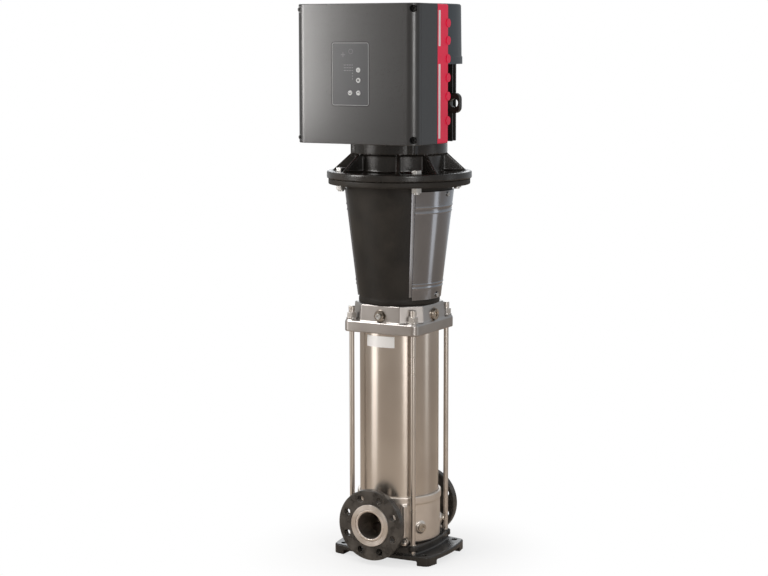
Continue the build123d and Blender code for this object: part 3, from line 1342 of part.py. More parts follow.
# Box cover: a deep moulded cover with large rounded front edges and four screw recesses
corner_x = box_width / 2 - corner_inset_x
corner_z = box_height / 2 - corner_inset_z
keypad_floor = box_front - keypad_recess
with BuildPart() as cover_hollow:
    with BuildSketch(Plane.XY.offset(box_z + box_wall)):
        with Locations((0, -cover_back - (cover_depth - box_wall) / 2)):
            Rectangle(box_width - 2 * box_wall, cover_depth - box_wall)
    extrude(amount=box_height - 2 * box_wall)
    fillet(cover_hollow.edges().filter_by(Axis.Z).group_by(Axis.Y)[0], box_round - box_wall)
    with Locations(Plane.XZ.offset(cover_back)):
        with Locations((0, box_mid_z, 0)):
            with GridLocations(2 * corner_x, 2 * corner_z, 2, 2):
                Cylinder(corner_post_dia / 2, 3 * cover_depth, mode=Mode.SUBTRACT)
with BuildPart() as box_cover:
    with BuildSketch(Plane.XY.offset(box_z)):
        with Locations((0, -cover_back - cover_depth / 2)):
            Rectangle(box_width, cover_depth)
    extrude(amount=box_height)
    fillet(box_cover.edges().filter_by(Axis.Z).group_by(Axis.Y)[0], box_round)
    chamfer(box_cover.faces().filter_by(Axis.Z).edges().group_by(Axis.Y)[:-1], 1.5)
    add(cover_hollow.part, mode=Mode.SUBTRACT)
    add(saddle_room.part, mode=Mode.SUBTRACT)
    with Locations(Plane.XZ.offset(box_front)):
        with Locations((0, box_mid_z, 0)):
            with GridLocations(2 * corner_x, 2 * corner_z, 2, 2):
                CounterBoreHole(
                    cover_bolt_dia / 2 + bolt_clear,
                    corner_recess_dia / 2,
                    corner_recess_depth,
                    depth=cover_depth,
                )
    with BuildSketch(Plane.XZ.offset(box_front)):
        with Locations((keypad_x, box_mid_z)):
            RectangleRounded(keypad_width, keypad_height, keypad_corner)
    extrude(amount=-keypad_recess, mode=Mode.SUBTRACT)
    with BuildSketch(Plane.XZ.offset(box_front)):
        with Locations(*[(x, box_mid_z + rise) for x, rise in button_spots.values()]):
            Circle(button_dia / 2 + clear)
    extrude(amount=-2 * box_wall, mode=Mode.SUBTRACT)
    with BuildSketch(Plane.XZ.offset(box_front - box_wall)):
        with Locations((keypad_x, box_mid_z)):
            with GridLocations(board_width - standoff_dia, board_height - standoff_dia, 2, 2):
                Circle(standoff_dia / 2)
    extrude(amount=-board_stand)
write(box_cover, "box_cover")

# Cover screws: long socket screws from the recesses into the drive frame's posts
cover_bolt_seat = box_front - corner_recess_depth
cover_bolt_length = cover_bolt_seat - gasket_back + cover_bolt_grip
cover_bolt = socket_screw(cover_bolt_dia, cover_bolt_length, cover_bolt_head_dia, cover_bolt_head)
with BuildPart() as cover_screws:
    with Locations(Plane.XZ.offset(cover_bolt_seat)):
        with Locations((0, box_mid_z, 0)):
            with GridLocations(2 * corner_x, 2 * corner_z, 2, 2):
                add(cover_bolt)
write(cover_screws, "cover_screws")

# Keypad panel: a thin plate set into the cover's front, with holes for the buttons
panel_width = keypad_width - 2 * keypad_gap
panel_height = keypad_height - 2 * keypad_gap
with BuildPart() as keypad_panel:
    with BuildSketch(Plane.XZ.offset(keypad_floor)):
        with Locations((keypad_x, box_mid_z)):
            RectangleRounded(panel_width, panel_height, keypad_corner - keypad_gap)
        with Locations(*[(x, box_mid_z + rise) for x, rise in button_spots.values()]):
            Circle(button_dia / 2 + clear, mode=Mode.SUBTRACT)
    extrude(amount=keypad_thick)
write(keypad_panel, "keypad_panel")

# Buttons: four round keys that press in, each held by a flange behind the cover's wall
button_front = box_front - keypad_recess + keypad_thick + button_stand
button_back = box_front - box_wall - clear
for button_name, (x, rise) in button_spots.items():
    with BuildPart() as button:
        with BuildSketch(Plane.XZ.offset(button_back)):
            with Locations((x, box_mid_z + rise)):
                Circle(button_dia / 2)
        extrude(amount=button_front - button_back)
        chamfer(button.edges().group_by(Axis.Y)[0], button_edge)
        with BuildSketch(Plane.XZ.offset(button_back)):
            with Locations((x, box_mid_z + rise)):
                Circle(button_flange_dia / 2)
        extrude(amount=-button_flange)
    write(button, button_name)

# Control board: the board behind the keypad, with a switch under each button
board_front = box_front - box_wall - board_stand
switch_front = button_back - button_flange - button_travel - clear
with BuildPart() as control_board:
    with BuildSketch(Plane.XZ.offset(board_front)):
        with Locations((keypad_x, box_mid_z)):
            Rectangle(board_width, board_height)
    extrude(amount=-board_thick)
    with BuildSketch(Plane.XZ.offset(board_front)):
        with Locations(*[(x, box_mid_z + rise) for x, rise in button_spots.values()]):
            Circle(switch_dia / 2)
    extrude(amount=switch_front - board_front)
write(control_board, "control_board")
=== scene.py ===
# The looks of a vertical multistage pump, from the floor up: a painted foot, a stainless chamber
# and sleeve, the head with its staybolts, the motor stool, the motor and its drive box.
# Metres, +Z up, the shaft on the Z axis, the ports along Y and the keypad facing -Y.
import json
import math

import bmesh
import bpy
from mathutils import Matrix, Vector


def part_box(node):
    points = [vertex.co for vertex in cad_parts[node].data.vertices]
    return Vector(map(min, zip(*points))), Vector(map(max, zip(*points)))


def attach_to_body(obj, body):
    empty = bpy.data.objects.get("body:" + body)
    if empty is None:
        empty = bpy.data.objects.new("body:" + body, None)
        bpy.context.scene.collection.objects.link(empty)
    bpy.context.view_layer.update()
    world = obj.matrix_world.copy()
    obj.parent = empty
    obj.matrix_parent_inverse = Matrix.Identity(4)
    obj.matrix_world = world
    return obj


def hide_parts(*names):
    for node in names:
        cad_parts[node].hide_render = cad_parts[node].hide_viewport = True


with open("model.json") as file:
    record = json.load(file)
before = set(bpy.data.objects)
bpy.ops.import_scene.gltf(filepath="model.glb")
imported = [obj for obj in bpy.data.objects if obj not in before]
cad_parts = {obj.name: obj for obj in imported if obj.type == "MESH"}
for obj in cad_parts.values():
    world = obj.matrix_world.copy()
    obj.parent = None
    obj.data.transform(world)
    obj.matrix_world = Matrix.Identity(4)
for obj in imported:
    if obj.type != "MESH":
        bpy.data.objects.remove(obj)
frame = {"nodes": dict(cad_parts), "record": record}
nodes = frame["nodes"]
bodies = frame["record"]["behaviour"]["bodies"]
body_of = {node: body for body, members in bodies.items() for node in members}
slot_of = {part["node"]: part["material_slot"] for part in frame["record"]["subparts"]}
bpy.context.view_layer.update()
scene = bpy.context.scene
scene.view_settings.view_transform = "Standard"

# The camera stands at the photograph's viewing angle, 29 degrees to the right of the keypad's
# front. It is level with the drive box, looks a little down and has a long lens.
view_azimuth = math.radians(28.99)
view_distance = 4.564
view_height = 1.332
view_pitch = math.radians(7.325)
view_lens = 82.6
view_shift = -0.020
camera_data = bpy.data.cameras.new("camera")
camera_data.lens = view_lens
camera_data.sensor_width = 36
camera_data.shift_x = view_shift
camera_data.shift_y = view_shift
camera = bpy.data.objects.new("camera", camera_data)
towards_camera = Vector((math.sin(view_azimuth), -math.cos(view_azimuth), 0))
camera.location = towards_camera * view_distance + Vector((0, 0, view_height))
look = -towards_camera * math.cos(view_pitch) - Vector((0, 0, math.sin(view_pitch)))
camera.rotation_euler = look.to_track_quat("-Z", "Y").to_euler()
scene.collection.objects.link(camera)
scene.camera = camera

# Studio: a white surround for the camera and an even fill for matt surfaces. Polished ones see
# a grey room instead, warmer in front and cooler behind, which gives bright metal its depth.
# Its tones are placed by their bearing round the shaft, from the left by way of the front.
surround_white = (1.0, 1.0, 1.0, 1)
fill_grey = (0.46, 0.455, 0.45, 1)
room_tones = (
    (0.00, (0.48, 0.47, 0.45, 1)),
    (0.12, (0.50, 0.46, 0.42, 1)),
    (0.19, (0.50, 0.46, 0.42, 1)),
    (0.27, (0.46, 0.43, 0.40, 1)),
    (0.36, (0.50, 0.47, 0.44, 1)),
    (0.50, (0.50, 0.49, 0.48, 1)),
    (0.62, (0.42, 0.44, 0.46, 1)),
    (0.80, (0.56, 0.58, 0.60, 1)),
    (1.00, (0.48, 0.47, 0.45, 1)),
)
world = bpy.data.worlds.new("studio")
world.use_nodes = True
scene.world = world
tree = world.node_tree
tree.nodes.clear()
path = tree.nodes.new("ShaderNodeLightPath")
direction = tree.nodes.new("ShaderNodeTexCoord")
apart = tree.nodes.new("ShaderNodeSeparateXYZ")
tree.links.new(direction.outputs["Generated"], apart.inputs[0])
bearing = tree.nodes.new("ShaderNodeMath")
bearing.operation = "ARCTAN2"
tree.links.new(apart.outputs["Y"], bearing.inputs[0])
tree.links.new(apart.outputs["X"], bearing.inputs[1])
turned = tree.nodes.new("ShaderNodeMapRange")
turned.inputs["From Min"].default_value = -math.pi
turned.inputs["From Max"].default_value = math.pi
tree.links.new(bearing.outputs[0], turned.inputs["Value"])
room = tree.nodes.new("ShaderNodeValToRGB")
room.color_ramp.elements[0].color = room_tones[0][1]
room.color_ramp.elements[1].color = room_tones[-1][1]
for position, colour in room_tones[1:-1]:
    room.color_ramp.elements.new(position).color = colour
tree.links.new(turned.outputs["Result"], room.inputs[0])
seen = tree.nodes.new("ShaderNodeMath")
seen.operation = "MAXIMUM"
tree.links.new(path.outputs["Is Glossy Ray"], seen.inputs[0])
tree.links.new(path.outputs["Is Transmission Ray"], seen.inputs[1])
for_metal = tree.nodes.new("ShaderNodeMix")
for_metal.data_type = "RGBA"
for_metal.inputs["A"].default_value = fill_grey
tree.links.new(seen.outputs[0], for_metal.inputs["Factor"])
tree.links.new(room.outputs[0], for_metal.inputs["B"])
for_camera = tree.nodes.new("ShaderNodeMix")
for_camera.data_type = "RGBA"
for_camera.inputs["B"].default_value = surround_white
tree.links.new(path.outputs["Is Camera Ray"], for_camera.inputs["Factor"])
tree.links.new(for_metal.outputs["Result"], for_camera.inputs["A"])
background = tree.nodes.new("ShaderNodeBackground")
tree.links.new(for_camera.outputs["Result"], background.inputs["Color"])
output = tree.nodes.new("ShaderNodeOutputWorld")
tree.links.new(background.outputs[0], output.inputs["Surface"])

# Soft boxes: tall ones left and right, whose reflections run down the sleeve as two bands, two
# near ones for the drive box's front and its rounded edge, one at the side, one behind, and a
# broad one overhead. Each has a bearing, distance, height, width, length, power and colour.
soft_boxes = {
    "soft_box_left": (-136, 1.50, 0.50, 0.50, 0.95, 2.6, (1.0, 0.98, 0.97)),
    "soft_box_keypad": (-130, 0.98, 1.42, 0.28, 0.70, 8.2, (1.0, 0.98, 0.96)),
    "soft_box_right": (-42, 1.80, 0.95, 0.50, 1.70, 6.0, (1.0, 0.98, 0.96)),
    "soft_box_edge": (-42, 1.70, 1.42, 0.24, 0.50, 4.6, (1.0, 1.0, 1.0)),
    "soft_box_side": (24, 2.10, 0.85, 0.40, 1.60, 1.9, (0.92, 0.96, 1.0)),
    "soft_box_back": (120, 2.60, 1.10, 1.20, 1.60, 8.0, (0.96, 0.98, 1.0)),
}
for name, (angle, distance, height, width, tall, watts, tint) in soft_boxes.items():
    lamp = bpy.data.lights.new(name, "AREA")
    lamp.shape = "RECTANGLE"
    lamp.size = width
    lamp.size_y = tall
    lamp.energy = watts
    lamp.color = tint
    holder = bpy.data.objects.new(name, lamp)
    around = math.radians(angle)
    outward = Vector((math.cos(around), math.sin(around), 0))
    holder.location = outward * distance + Vector((0, 0, height))
    holder.rotation_euler = outward.to_track_quat("Z", "Y").to_euler()
    holder.visible_camera = False
    scene.collection.objects.link(holder)
overhead_width = 1.8
overhead_watts = 12
overhead_place = Vector((-0.5, -0.7, 3.2))
overhead_aim = Vector((0, 0, 0.9))
overhead = bpy.data.lights.new("soft_box_overhead", "AREA")
overhead.shape = "DISK"
overhead.size = overhead_width
overhead.energy = overhead_watts
overhead_holder = bpy.data.objects.new("soft_box_overhead", overhead)
overhead_holder.location = overhead_place
overhead_turn = (overhead_place - overhead_aim).to_track_quat("Z", "Y")
overhead_holder.rotation_euler = overhead_turn.to_euler()
overhead_holder.visible_camera = False
scene.collection.objects.link(overhead_holder)

# Floor: a pale disc that takes the pump's shadow and fades into the white surround. Polished
# metal sees it in a darker and warmer tone.
floor_radius = 5.0
floor_sides = 96
floor_matt = 0.8
floor_white = (0.86, 0.86, 0.86, 1)
floor_mirrored = (0.62, 0.52, 0.43, 1)
fade_start = 0.10
fade_end = 0.46
least_glow = 0.70
floor_mesh = bpy.data.meshes.new("floor")
work = bmesh.new()
bmesh.ops.create_circle(work, cap_ends=True, segments=floor_sides, radius=floor_radius)
work.to_mesh(floor_mesh)
work.free()
floor = bpy.data.objects.new("floor", floor_mesh)
scene.collection.objects.link(floor)
floor_paint = bpy.data.materials.new("floor_paint")
floor_paint.use_nodes = True
tree = floor_paint.node_tree
skin = tree.nodes["Principled BSDF"]
skin.inputs["Roughness"].default_value = floor_matt
path = tree.nodes.new("ShaderNodeLightPath")
floor_tone = tree.nodes.new("ShaderNodeMix")
floor_tone.data_type = "RGBA"
floor_tone.inputs["A"].default_value = floor_white
floor_tone.inputs["B"].default_value = floor_mirrored
tree.links.new(path.outputs["Is Glossy Ray"], floor_tone.inputs["Factor"])
tree.links.new(floor_tone.outputs["Result"], skin.inputs["Base Color"])
place = tree.nodes.new("ShaderNodeTexCoord")
reach = tree.nodes.new("ShaderNodeVectorMath")
reach.operation = "LENGTH"
tree.links.new(place.outputs["Object"], reach.inputs[0])
fade = tree.nodes.new("ShaderNodeMapRange")
fade.interpolation_type = "SMOOTHSTEP"
fade.inputs["From Min"].default_value = fade_start
fade.inputs["From Max"].default_value = fade_end
fade.inputs["To Min"].default_value = least_glow
tree.links.new(reach.outputs["Value"], fade.inputs["Value"])
share = tree.nodes.new("ShaderNodeMath")
share.operation = "MULTIPLY"
tree.links.new(fade.outputs["Result"], share.inputs[0])
tree.links.new(path.outputs["Is Camera Ray"], share.inputs[1])
glow = tree.nodes.new("ShaderNodeEmission")
blend = tree.nodes.new("ShaderNodeMixShader")
tree.links.new(share.outputs[0], blend.inputs[0])
tree.links.new(skin.outputs[0], blend.inputs[1])
tree.links.new(glow.outputs[0], blend.inputs[2])
tree.links.new(blend.outputs[0], tree.nodes["Material Output"].inputs["Surface"])
floor_mesh.materials.append(floor_paint)


# Base plate: a grey-iron casting on four feet, sand cast with rounded edges, then painted
# satin black. The feet are drilled, and the boss at each corner takes a staybolt.
def plain_mesh(piece):
    """Turns a piece with modifiers into the plain mesh that they give."""
    bpy.context.view_layer.update()
    evaluated = piece.evaluated_get(bpy.context.evaluated_depsgraph_get())
    mesh = bpy.data.meshes.new_from_object(evaluated)
    piece.modifiers.clear()
    piece.data = mesh
    return piece


def new_piece(name, work):
    """A new object made of a finished bmesh."""
    mesh = bpy.data.meshes.new(name)
    work.to_mesh(mesh)
    work.free()
    piece = bpy.data.objects.new(name, mesh)
    scene.collection.objects.link(piece)
    return piece


def shaped_like(node, name):
    """A new object with a copy of a node's mesh, its loose triangles joined."""
    joint_gap = 0.00001
    work = bmesh.new()
    work.from_mesh(nodes[node].data)
    bmesh.ops.remove_doubles(work, verts=work.verts, dist=joint_gap)
    return new_piece(name, work)


def attach(piece, finish, body):
    """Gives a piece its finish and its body."""
    piece.data.materials.clear()
    piece.data.materials.append(finish)
    piece.data.polygons.foreach_set("material_index", [0] * len(piece.data.polygons))
    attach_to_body(piece, body)


def dress(piece, finish, node):
    """Lets a finished piece stand for a node, on the same body, and hides the node."""
    attach(piece, finish, body_of[node])
    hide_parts(node)


def sand_cast(node, name, finish, grid, rounds):
    """A node as it leaves the mould: every edge and corner rounded on a grid of this size."""
    piece = shaped_like(node, name)
    remesh = piece.modifiers.new("mould", "REMESH")
    remesh.mode = "VOXEL"
    remesh.voxel_size = grid
    remesh.use_smooth_shade = True
    smooth = piece.modifiers.new("rounding", "SMOOTH")
    smooth.factor = 0.5
    smooth.iterations = rounds
    dress(plain_mesh(piece), finish, node)


def node_noise(tree, place, scale, detail, stretch=(1, 1, 1)):
    """A noise texture over a piece's own coordinates, stretched along some axes."""
    mapping = tree.nodes.new("ShaderNodeMapping")
    mapping.inputs["Scale"].default_value = stretch
    tree.links.new(place.outputs["Object"], mapping.inputs["Vector"])
    noise = tree.nodes.new("ShaderNodeTexNoise")
    noise.inputs["Scale"].default_value = scale
    noise.inputs["Detail"].default_value = detail
    tree.links.new(mapping.outputs[0], noise.inputs["Vector"])
    return noise.outputs["Fac"]


def ranged(tree, noise, low, high, socket):
    """Spreads a noise, which keeps near its middle, over a range and wires it to a socket."""
    noise_low, noise_high = 0.3, 0.7
    spread = tree.nodes.new("ShaderNodeMapRange")
    spread.inputs["From Min"].default_value = noise_low
    spread.inputs["From Max"].default_value = noise_high
    spread.inputs["To Min"].default_value = low
    spread.inputs["To Max"].default_value = high
    tree.links.new(noise, spread.inputs["Value"])
    tree.links.new(spread.outputs["Result"], socket)


def tinted(tree, noise, first, second, socket):
    """Runs from one colour to another with a noise and wires it to a socket."""
    first_end, second_start = 0.35, 0.68
    ramp = tree.nodes.new("ShaderNodeValToRGB")
    stops = ((first_end, first), (second_start, second))
    for element, (position, colour) in zip(ramp.color_ramp.elements, stops):
        element.position = position
        element.color = (*colour, 1)
    tree.links.new(noise, ramp.inputs[0])
    tree.links.new(ramp.outputs[0], socket)


def grained(tree, skin, noise, depth):
    """Raises a surface's grain by a noise, this deep in metres."""
    bump = tree.nodes.new("ShaderNodeBump")
    bump.inputs["Distance"].default_value = depth
    bump.inputs["Strength"].default_value = 1.0
    tree.links.new(noise, bump.inputs["Height"])
    tree.links.new(bump.outputs["Normal"], skin.inputs["Normal"])


def new_finish(name, metal=0.0):
    """A new material with its shader and its texture coordinates."""
    finish = bpy.data.materials.new(name)
    finish.use_nodes = True
    tree = finish.node_tree
    skin = tree.nodes["Principled BSDF"]
    skin.inputs["Metallic"].default_value = metal
    return finish, tree, skin, tree.nodes.new("ShaderNodeTexCoord")


def casting_paint(name, colour, worn, matt, shine, gloss=0.35, depth=0.00025, mottle=16):
    """Paint on a sand casting: mottled gloss, a few thin places and the sand's grain below."""
    sand_grain = 380
    finish, tree, skin, place = new_finish(name)
    skin.inputs["Specular IOR Level"].default_value = gloss
    patches = node_noise(tree, place, mottle, detail=6)
    grain = node_noise(tree, place, sand_grain, detail=4)
    tinted(tree, patches, colour, worn, skin.inputs["Base Color"])
    ranged(tree, patches, shine, matt, skin.inputs["Roughness"])
    grained(tree, skin, grain, depth)
    return finish


foot_paint = (0.010, 0.009, 0.008)
foot_worn = (0.024, 0.021, 0.018)
foot_black = casting_paint("foot_black", foot_paint, foot_worn, matt=0.36, shine=0.20, gloss=0.55)
sand_cast("base_plate", "base_plate_casting", foot_black, grid=0.0016, rounds=2)


# Base chamber: cast stainless steel, bead blasted to a warm grey, with its rim turned. The port
# necks run through it, and two drain plugs sit in bosses on its right side.
def blasted_steel(name, colour, shade, matt, depth=0.00005):
    """Bead-blasted stainless casting: a dense dull metal with cloudy patches."""
    cloud_scale, bead_scale = 11, 900
    shinier, duller = 0.06, 0.08
    finish, tree, skin, place = new_finish(name, 1.0)
    clouds = node_noise(tree, place, cloud_scale, detail=5)
    beads = node_noise(tree, place, bead_scale, detail=2)
    tinted(tree, clouds, colour, shade, skin.inputs["Base Color"])
    ranged(tree, beads, matt - shinier, matt + duller, skin.inputs["Roughness"])
    grained(tree, skin, beads, depth)
    return finish


chamber_pale = (0.76, 0.71, 0.66)
chamber_shade = (0.64, 0.59, 0.54)
chamber_steel = blasted_steel(
    "chamber_steel", chamber_pale, chamber_shade, matt=0.36, depth=0.00002
)
sand_cast("base_chamber", "base_chamber_casting", chamber_steel, grid=0.0021, rounds=3)


# Port collars: stainless rings screwed on the port necks and faced on a lathe, so that their
# bright faces show fine rings round the port.
def edged(node, name, finish, width, segments=2):
    """A node as it is machined or pressed: the same shape with its sharp edges broken."""
    flat_angle = math.radians(1)
    broken_angle = math.radians(32)
    smooth_angle = math.radians(28)
    piece = shaped_like(node, name)
    work = bmesh.new()
    work.from_mesh(piece.data)
    bmesh.ops.dissolve_limit(work, angle_limit=flat_angle, verts=work.verts, edges=work.edges)
    work.to_mesh(piece.data)
    work.free()
    bevel = piece.modifiers.new("edges", "BEVEL")
    bevel.width = width
    bevel.segments = segments
    bevel.limit_method = "ANGLE"
    bevel.angle_limit = broken_angle
    plain_mesh(piece)
    piece.data.polygons.foreach_set("use_smooth", [True] * len(piece.data.polygons))
    piece.data.set_sharp_from_angle(angle=smooth_angle)
    even = piece.modifiers.new("even_flats", "WEIGHTED_NORMAL")
    even.keep_sharp = True
    even.weight = 80
    plain_mesh(piece)
    dress(piece, finish, node)


def turned_steel(name, colour, centre, axis, rough):
    """Metal off a lathe: fine rings about a centre, seen in its gloss and its grain."""
    ring_scale, ring_depth = 900, 0.000012
    shinier, duller = 0.07, 0.10
    finish, tree, skin, place = new_finish(name, 1.0)
    skin.inputs["Base Color"].default_value = (*colour, 1)
    shift = tree.nodes.new("ShaderNodeVectorMath")
    shift.operation = "SUBTRACT"
    shift.inputs[1].default_value = centre
    tree.links.new(place.outputs["Object"], shift.inputs[0])
    flat = tree.nodes.new("ShaderNodeVectorMath")
    flat.operation = "MULTIPLY"
    flat.inputs[1].default_value = tuple(0.0 if along == axis else 1.0 for along in "XYZ")
    tree.links.new(shift.outputs[0], flat.inputs[0])
    reach = tree.nodes.new("ShaderNodeVectorMath")
    reach.operation = "LENGTH"
    tree.links.new(flat.outputs[0], reach.inputs[0])
    rings = tree.nodes.new("ShaderNodeTexNoise")
    rings.noise_dimensions = "1D"
    rings.inputs["Scale"].default_value = ring_scale
    rings.inputs["Detail"].default_value = 3
    tree.links.new(reach.outputs["Value"], rings.inputs["W"])
    roughness = skin.inputs["Roughness"]
    ranged(tree, rings.outputs["Fac"], rough - shinier, rough + duller, roughness)
    grained(tree, skin, rings.outputs["Fac"], ring_depth)
    skin.inputs["Anisotropic"].default_value = 0.95
    skin.inputs["Anisotropic Rotation"].default_value = 0.25
    tangent = tree.nodes.new("ShaderNodeTangent")
    tangent.direction_type = "RADIAL"
    tangent.axis = axis
    tree.links.new(tangent.outputs[0], skin.inputs["Tangent"])
    return finish


port_height = 0.105
port_centre = (0, 0, port_height)
faced_steel = turned_steel("faced_steel", (0.74, 0.70, 0.66), port_centre, "Y", rough=0.38)
edged("port_collars", "port_collar_rings", faced_steel, width=0.0008)

# Loose flanges: cast backing flanges with eight drilled holes, painted black. Each turns on its
# port neck behind the collar until its holes meet those of the pipe.
flange_paint = (0.015, 0.013, 0.011)
flange_worn = (0.070, 0.060, 0.050)
flange_black = casting_paint(
    "flange_black",
    flange_paint,
    flange_worn,
    matt=0.38,
    shine=0.20,
    gloss=0.55,
    depth=0.0003,
    mottle=42,
)
edged("suction_flange", "suction_flange_casting", flange_black, width=0.0020, segments=3)
edged("discharge_flange", "discharge_flange_casting", flange_black, width=0.0020, segments=3)


# Base bolts and drain plugs: zinc-plated hexagon bolts on the chamber's lugs, and stainless
# plugs with a hexagon socket.
def bar_metal(name, colour, shade, rough, smudge=60, grain=900):
    """Small turned or rolled hardware: bright metal with smudges and a fine drawn grain."""
    grain_depth = 0.0000004
    shinier, duller = 0.04, 0.08
    finish, tree, skin, place = new_finish(name, 1.0)
    smudges = node_noise(tree, place, smudge, detail=2)
    drawn = node_noise(tree, place, grain, detail=1)
    tinted(tree, smudges, colour, shade, skin.inputs["Base Color"])
    ranged(tree, smudges, rough - shinier, rough + duller, skin.inputs["Roughness"])
    grained(tree, skin, drawn, grain_depth)
    return finish


plated_zinc = bar_metal("plated_zinc", (0.60, 0.60, 0.59), (0.46, 0.46, 0.45), rough=0.30)
plug_steel = bar_metal("plug_steel", (0.52, 0.48, 0.43), (0.38, 0.34, 0.29), rough=0.26)
edged("base_bolts", "base_bolt_set", plated_zinc, width=0.0006)
edged("drain_plugs", "drain_plug_pair", plug_steel, width=0.0008)

# Outer sleeve: a tube rolled from stainless sheet, welded up the back and ground round and
# round, so that its grain lies level and the soft boxes draw tall bands down it.
sleeve_low, sleeve_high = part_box("outer_sleeve")
sleeve_radius = sleeve_high.x
sleeve_wall = 0.002
sleeve_bore = sleeve_radius - sleeve_wall
sleeve_segments = 192
sleeve_end = 0.010
sleeve_middle = (sleeve_low.z + sleeve_high.z) / 2
sleeve_profile = [
    (sleeve_bore, sleeve_low.z),
    (sleeve_radius, sleeve_low.z),
    (sleeve_radius, sleeve_low.z + sleeve_end),
    (sleeve_radius, sleeve_middle),
    (sleeve_radius, sleeve_high.z - sleeve_end),
    (sleeve_radius, sleeve_high.z),
    (sleeve_bore, sleeve_high.z),
    (sleeve_bore, sleeve_middle),
]


def bridged(name, rows):
    """A closed body made of rows of points, each joined to the next and the last to the first."""
    work = bmesh.new()
    rings = [[work.verts.new(spot) for spot in row] for row in rows]
    for ring, after in zip(rings, rings[1:] + rings[:1]):
        for k in range(len(ring)):
            m = (k + 1) % len(ring)
            work.faces.new((ring[k], ring[m], after[m], after[k]))
    bmesh.ops.recalc_face_normals(work, faces=work.faces)
    return new_piece(name, work)


def lathed(name, profile, segments):
    """A closed outline of radius and height, turned round the shaft's axis."""
    smooth_angle = math.radians(28)
    rows = []
    for step in range(segments):
        angle = 2 * math.pi * step / segments
        rows.append([(r * math.cos(angle), r * math.sin(angle), z) for r, z in profile])
    piece = bridged(name, rows)
    piece.data.polygons.foreach_set("use_smooth", [True] * len(piece.data.polygons))
    piece.data.set_sharp_from_angle(angle=smooth_angle)
    return piece


def ground_steel(name, colour, shade, rough):
    """Stainless sheet ground level: long fine scratches round the piece, and faint clouds."""
    cloud_scale = 5
    along = (6, 6, 3000)
    scratch_depth = 0.0000003
    shinier, duller = 0.004, 0.010
    finish, tree, skin, place = new_finish(name, 1.0)
    clouds = node_noise(tree, place, cloud_scale, detail=3)
    scratches = node_noise(tree, place, 1.0, detail=3, stretch=along)
    tinted(tree, clouds, colour, shade, skin.inputs["Base Color"])
    ranged(tree, scratches, rough - shinier, rough + duller, skin.inputs["Roughness"])
    grained(tree, skin, scratches, scratch_depth)
    skin.inputs["Anisotropic"].default_value = 0.6
    skin.inputs["Anisotropic Rotation"].default_value = 0.25
    tangent = tree.nodes.new("ShaderNodeTangent")
    tangent.direction_type = "RADIAL"
    tangent.axis = "Z"
    tree.links.new(tangent.outputs[0], skin.inputs["Tangent"])
    return finish


sleeve_steel = ground_steel("sleeve_steel", (0.65, 0.60, 0.545), (0.55, 0.495, 0.445), rough=0.26)
dress(lathed("sleeve_tube", sleeve_profile, sleeve_segments), sleeve_steel, "outer_sleeve")

# Rating strip: a pale metal foil, glued round the sleeve's front under the head. Nothing is
# printed on it.
strip_start = math.radians(-114)
strip_span = math.radians(46)
strip_low_z = 0.563
strip_high_z = 0.592
strip_steps = 40
strip_radius = sleeve_radius + 0.00005
foil_thickness = 0.00025
foil_white = (0.78, 0.76, 0.74, 1)
work = bmesh.new()
strip_columns = []
for step in range(strip_steps + 1):
    angle = strip_start + strip_span * step / strip_steps
    x, y = strip_radius * math.cos(angle), strip_radius * math.sin(angle)
    strip_columns.append([work.verts.new((x, y, z)) for z in (strip_low_z, strip_high_z)])
for this, after in zip(strip_columns, strip_columns[1:]):
    work.faces.new((this[0], after[0], after[1], this[1]))
rating_strip = new_piece("rating_strip", work)
thickness = rating_strip.modifiers.new("foil", "SOLIDIFY")
thickness.thickness = foil_thickness
thickness.offset = 1
plain_mesh(rating_strip)
foil_metal = 0.3
foil_patches = 60
foil_shine, foil_matt = 0.32, 0.48
foil, tree, skin, place = new_finish("foil", foil_metal)
patches = node_noise(tree, place, foil_patches, detail=3)
ranged(tree, patches, foil_shine, foil_matt, skin.inputs["Roughness"])
skin.inputs["Base Color"].default_value = foil_white
attach(rating_strip, foil, "pump")

# Pump head: a cast stainless cover, bead blasted. Its square band carries the staybolts in open
# corner pockets, and the plugs sit in its front and right faces.
head_pale = (0.48, 0.46, 0.445)
head_shade = (0.38, 0.36, 0.345)
head_steel = blasted_steel("head_steel", head_pale, head_shade, matt=0.33, depth=0.00002)
sand_cast("pump_head", "pump_head_casting", head_steel, grid=0.0015, rounds=2)


# Staybolts: four drawn stainless bolts with rolled threads, which clamp the sleeve between the
# chamber and the head. Their washers and nuts stand in the head's corner pockets.
def flow_of(name, sockets):
    """An empty geometry tree with named inputs, and its input and output nodes."""
    flow = bpy.data.node_groups.new(name, "GeometryNodeTree")
    for title, kind in sockets.items():
        flow.interface.new_socket(name=title, in_out="INPUT", socket_type=kind)
    flow.interface.new_socket(name="Geometry", in_out="OUTPUT", socket_type="NodeSocketGeometry")
    return flow, flow.nodes.new("NodeGroupInput"), flow.nodes.new("NodeGroupOutput")


def grown(name, spots, flow, values):
    """A piece that a geometry tree grows on these spots, as a plain mesh."""
    mesh = bpy.data.meshes.new(name)
    mesh.from_pydata([tuple(spot) for spot in spots], [], [])
    piece = bpy.data.objects.new(name, mesh)
    scene.collection.objects.link(piece)
    modifier = piece.modifiers.new("growth", "NODES")
    modifier.node_group = flow
    for item in flow.interface.items_tree:
        if item.in_out == "INPUT" and item.name in values:
            modifier[item.identifier] = values[item.name]
    return plain_mesh(piece)


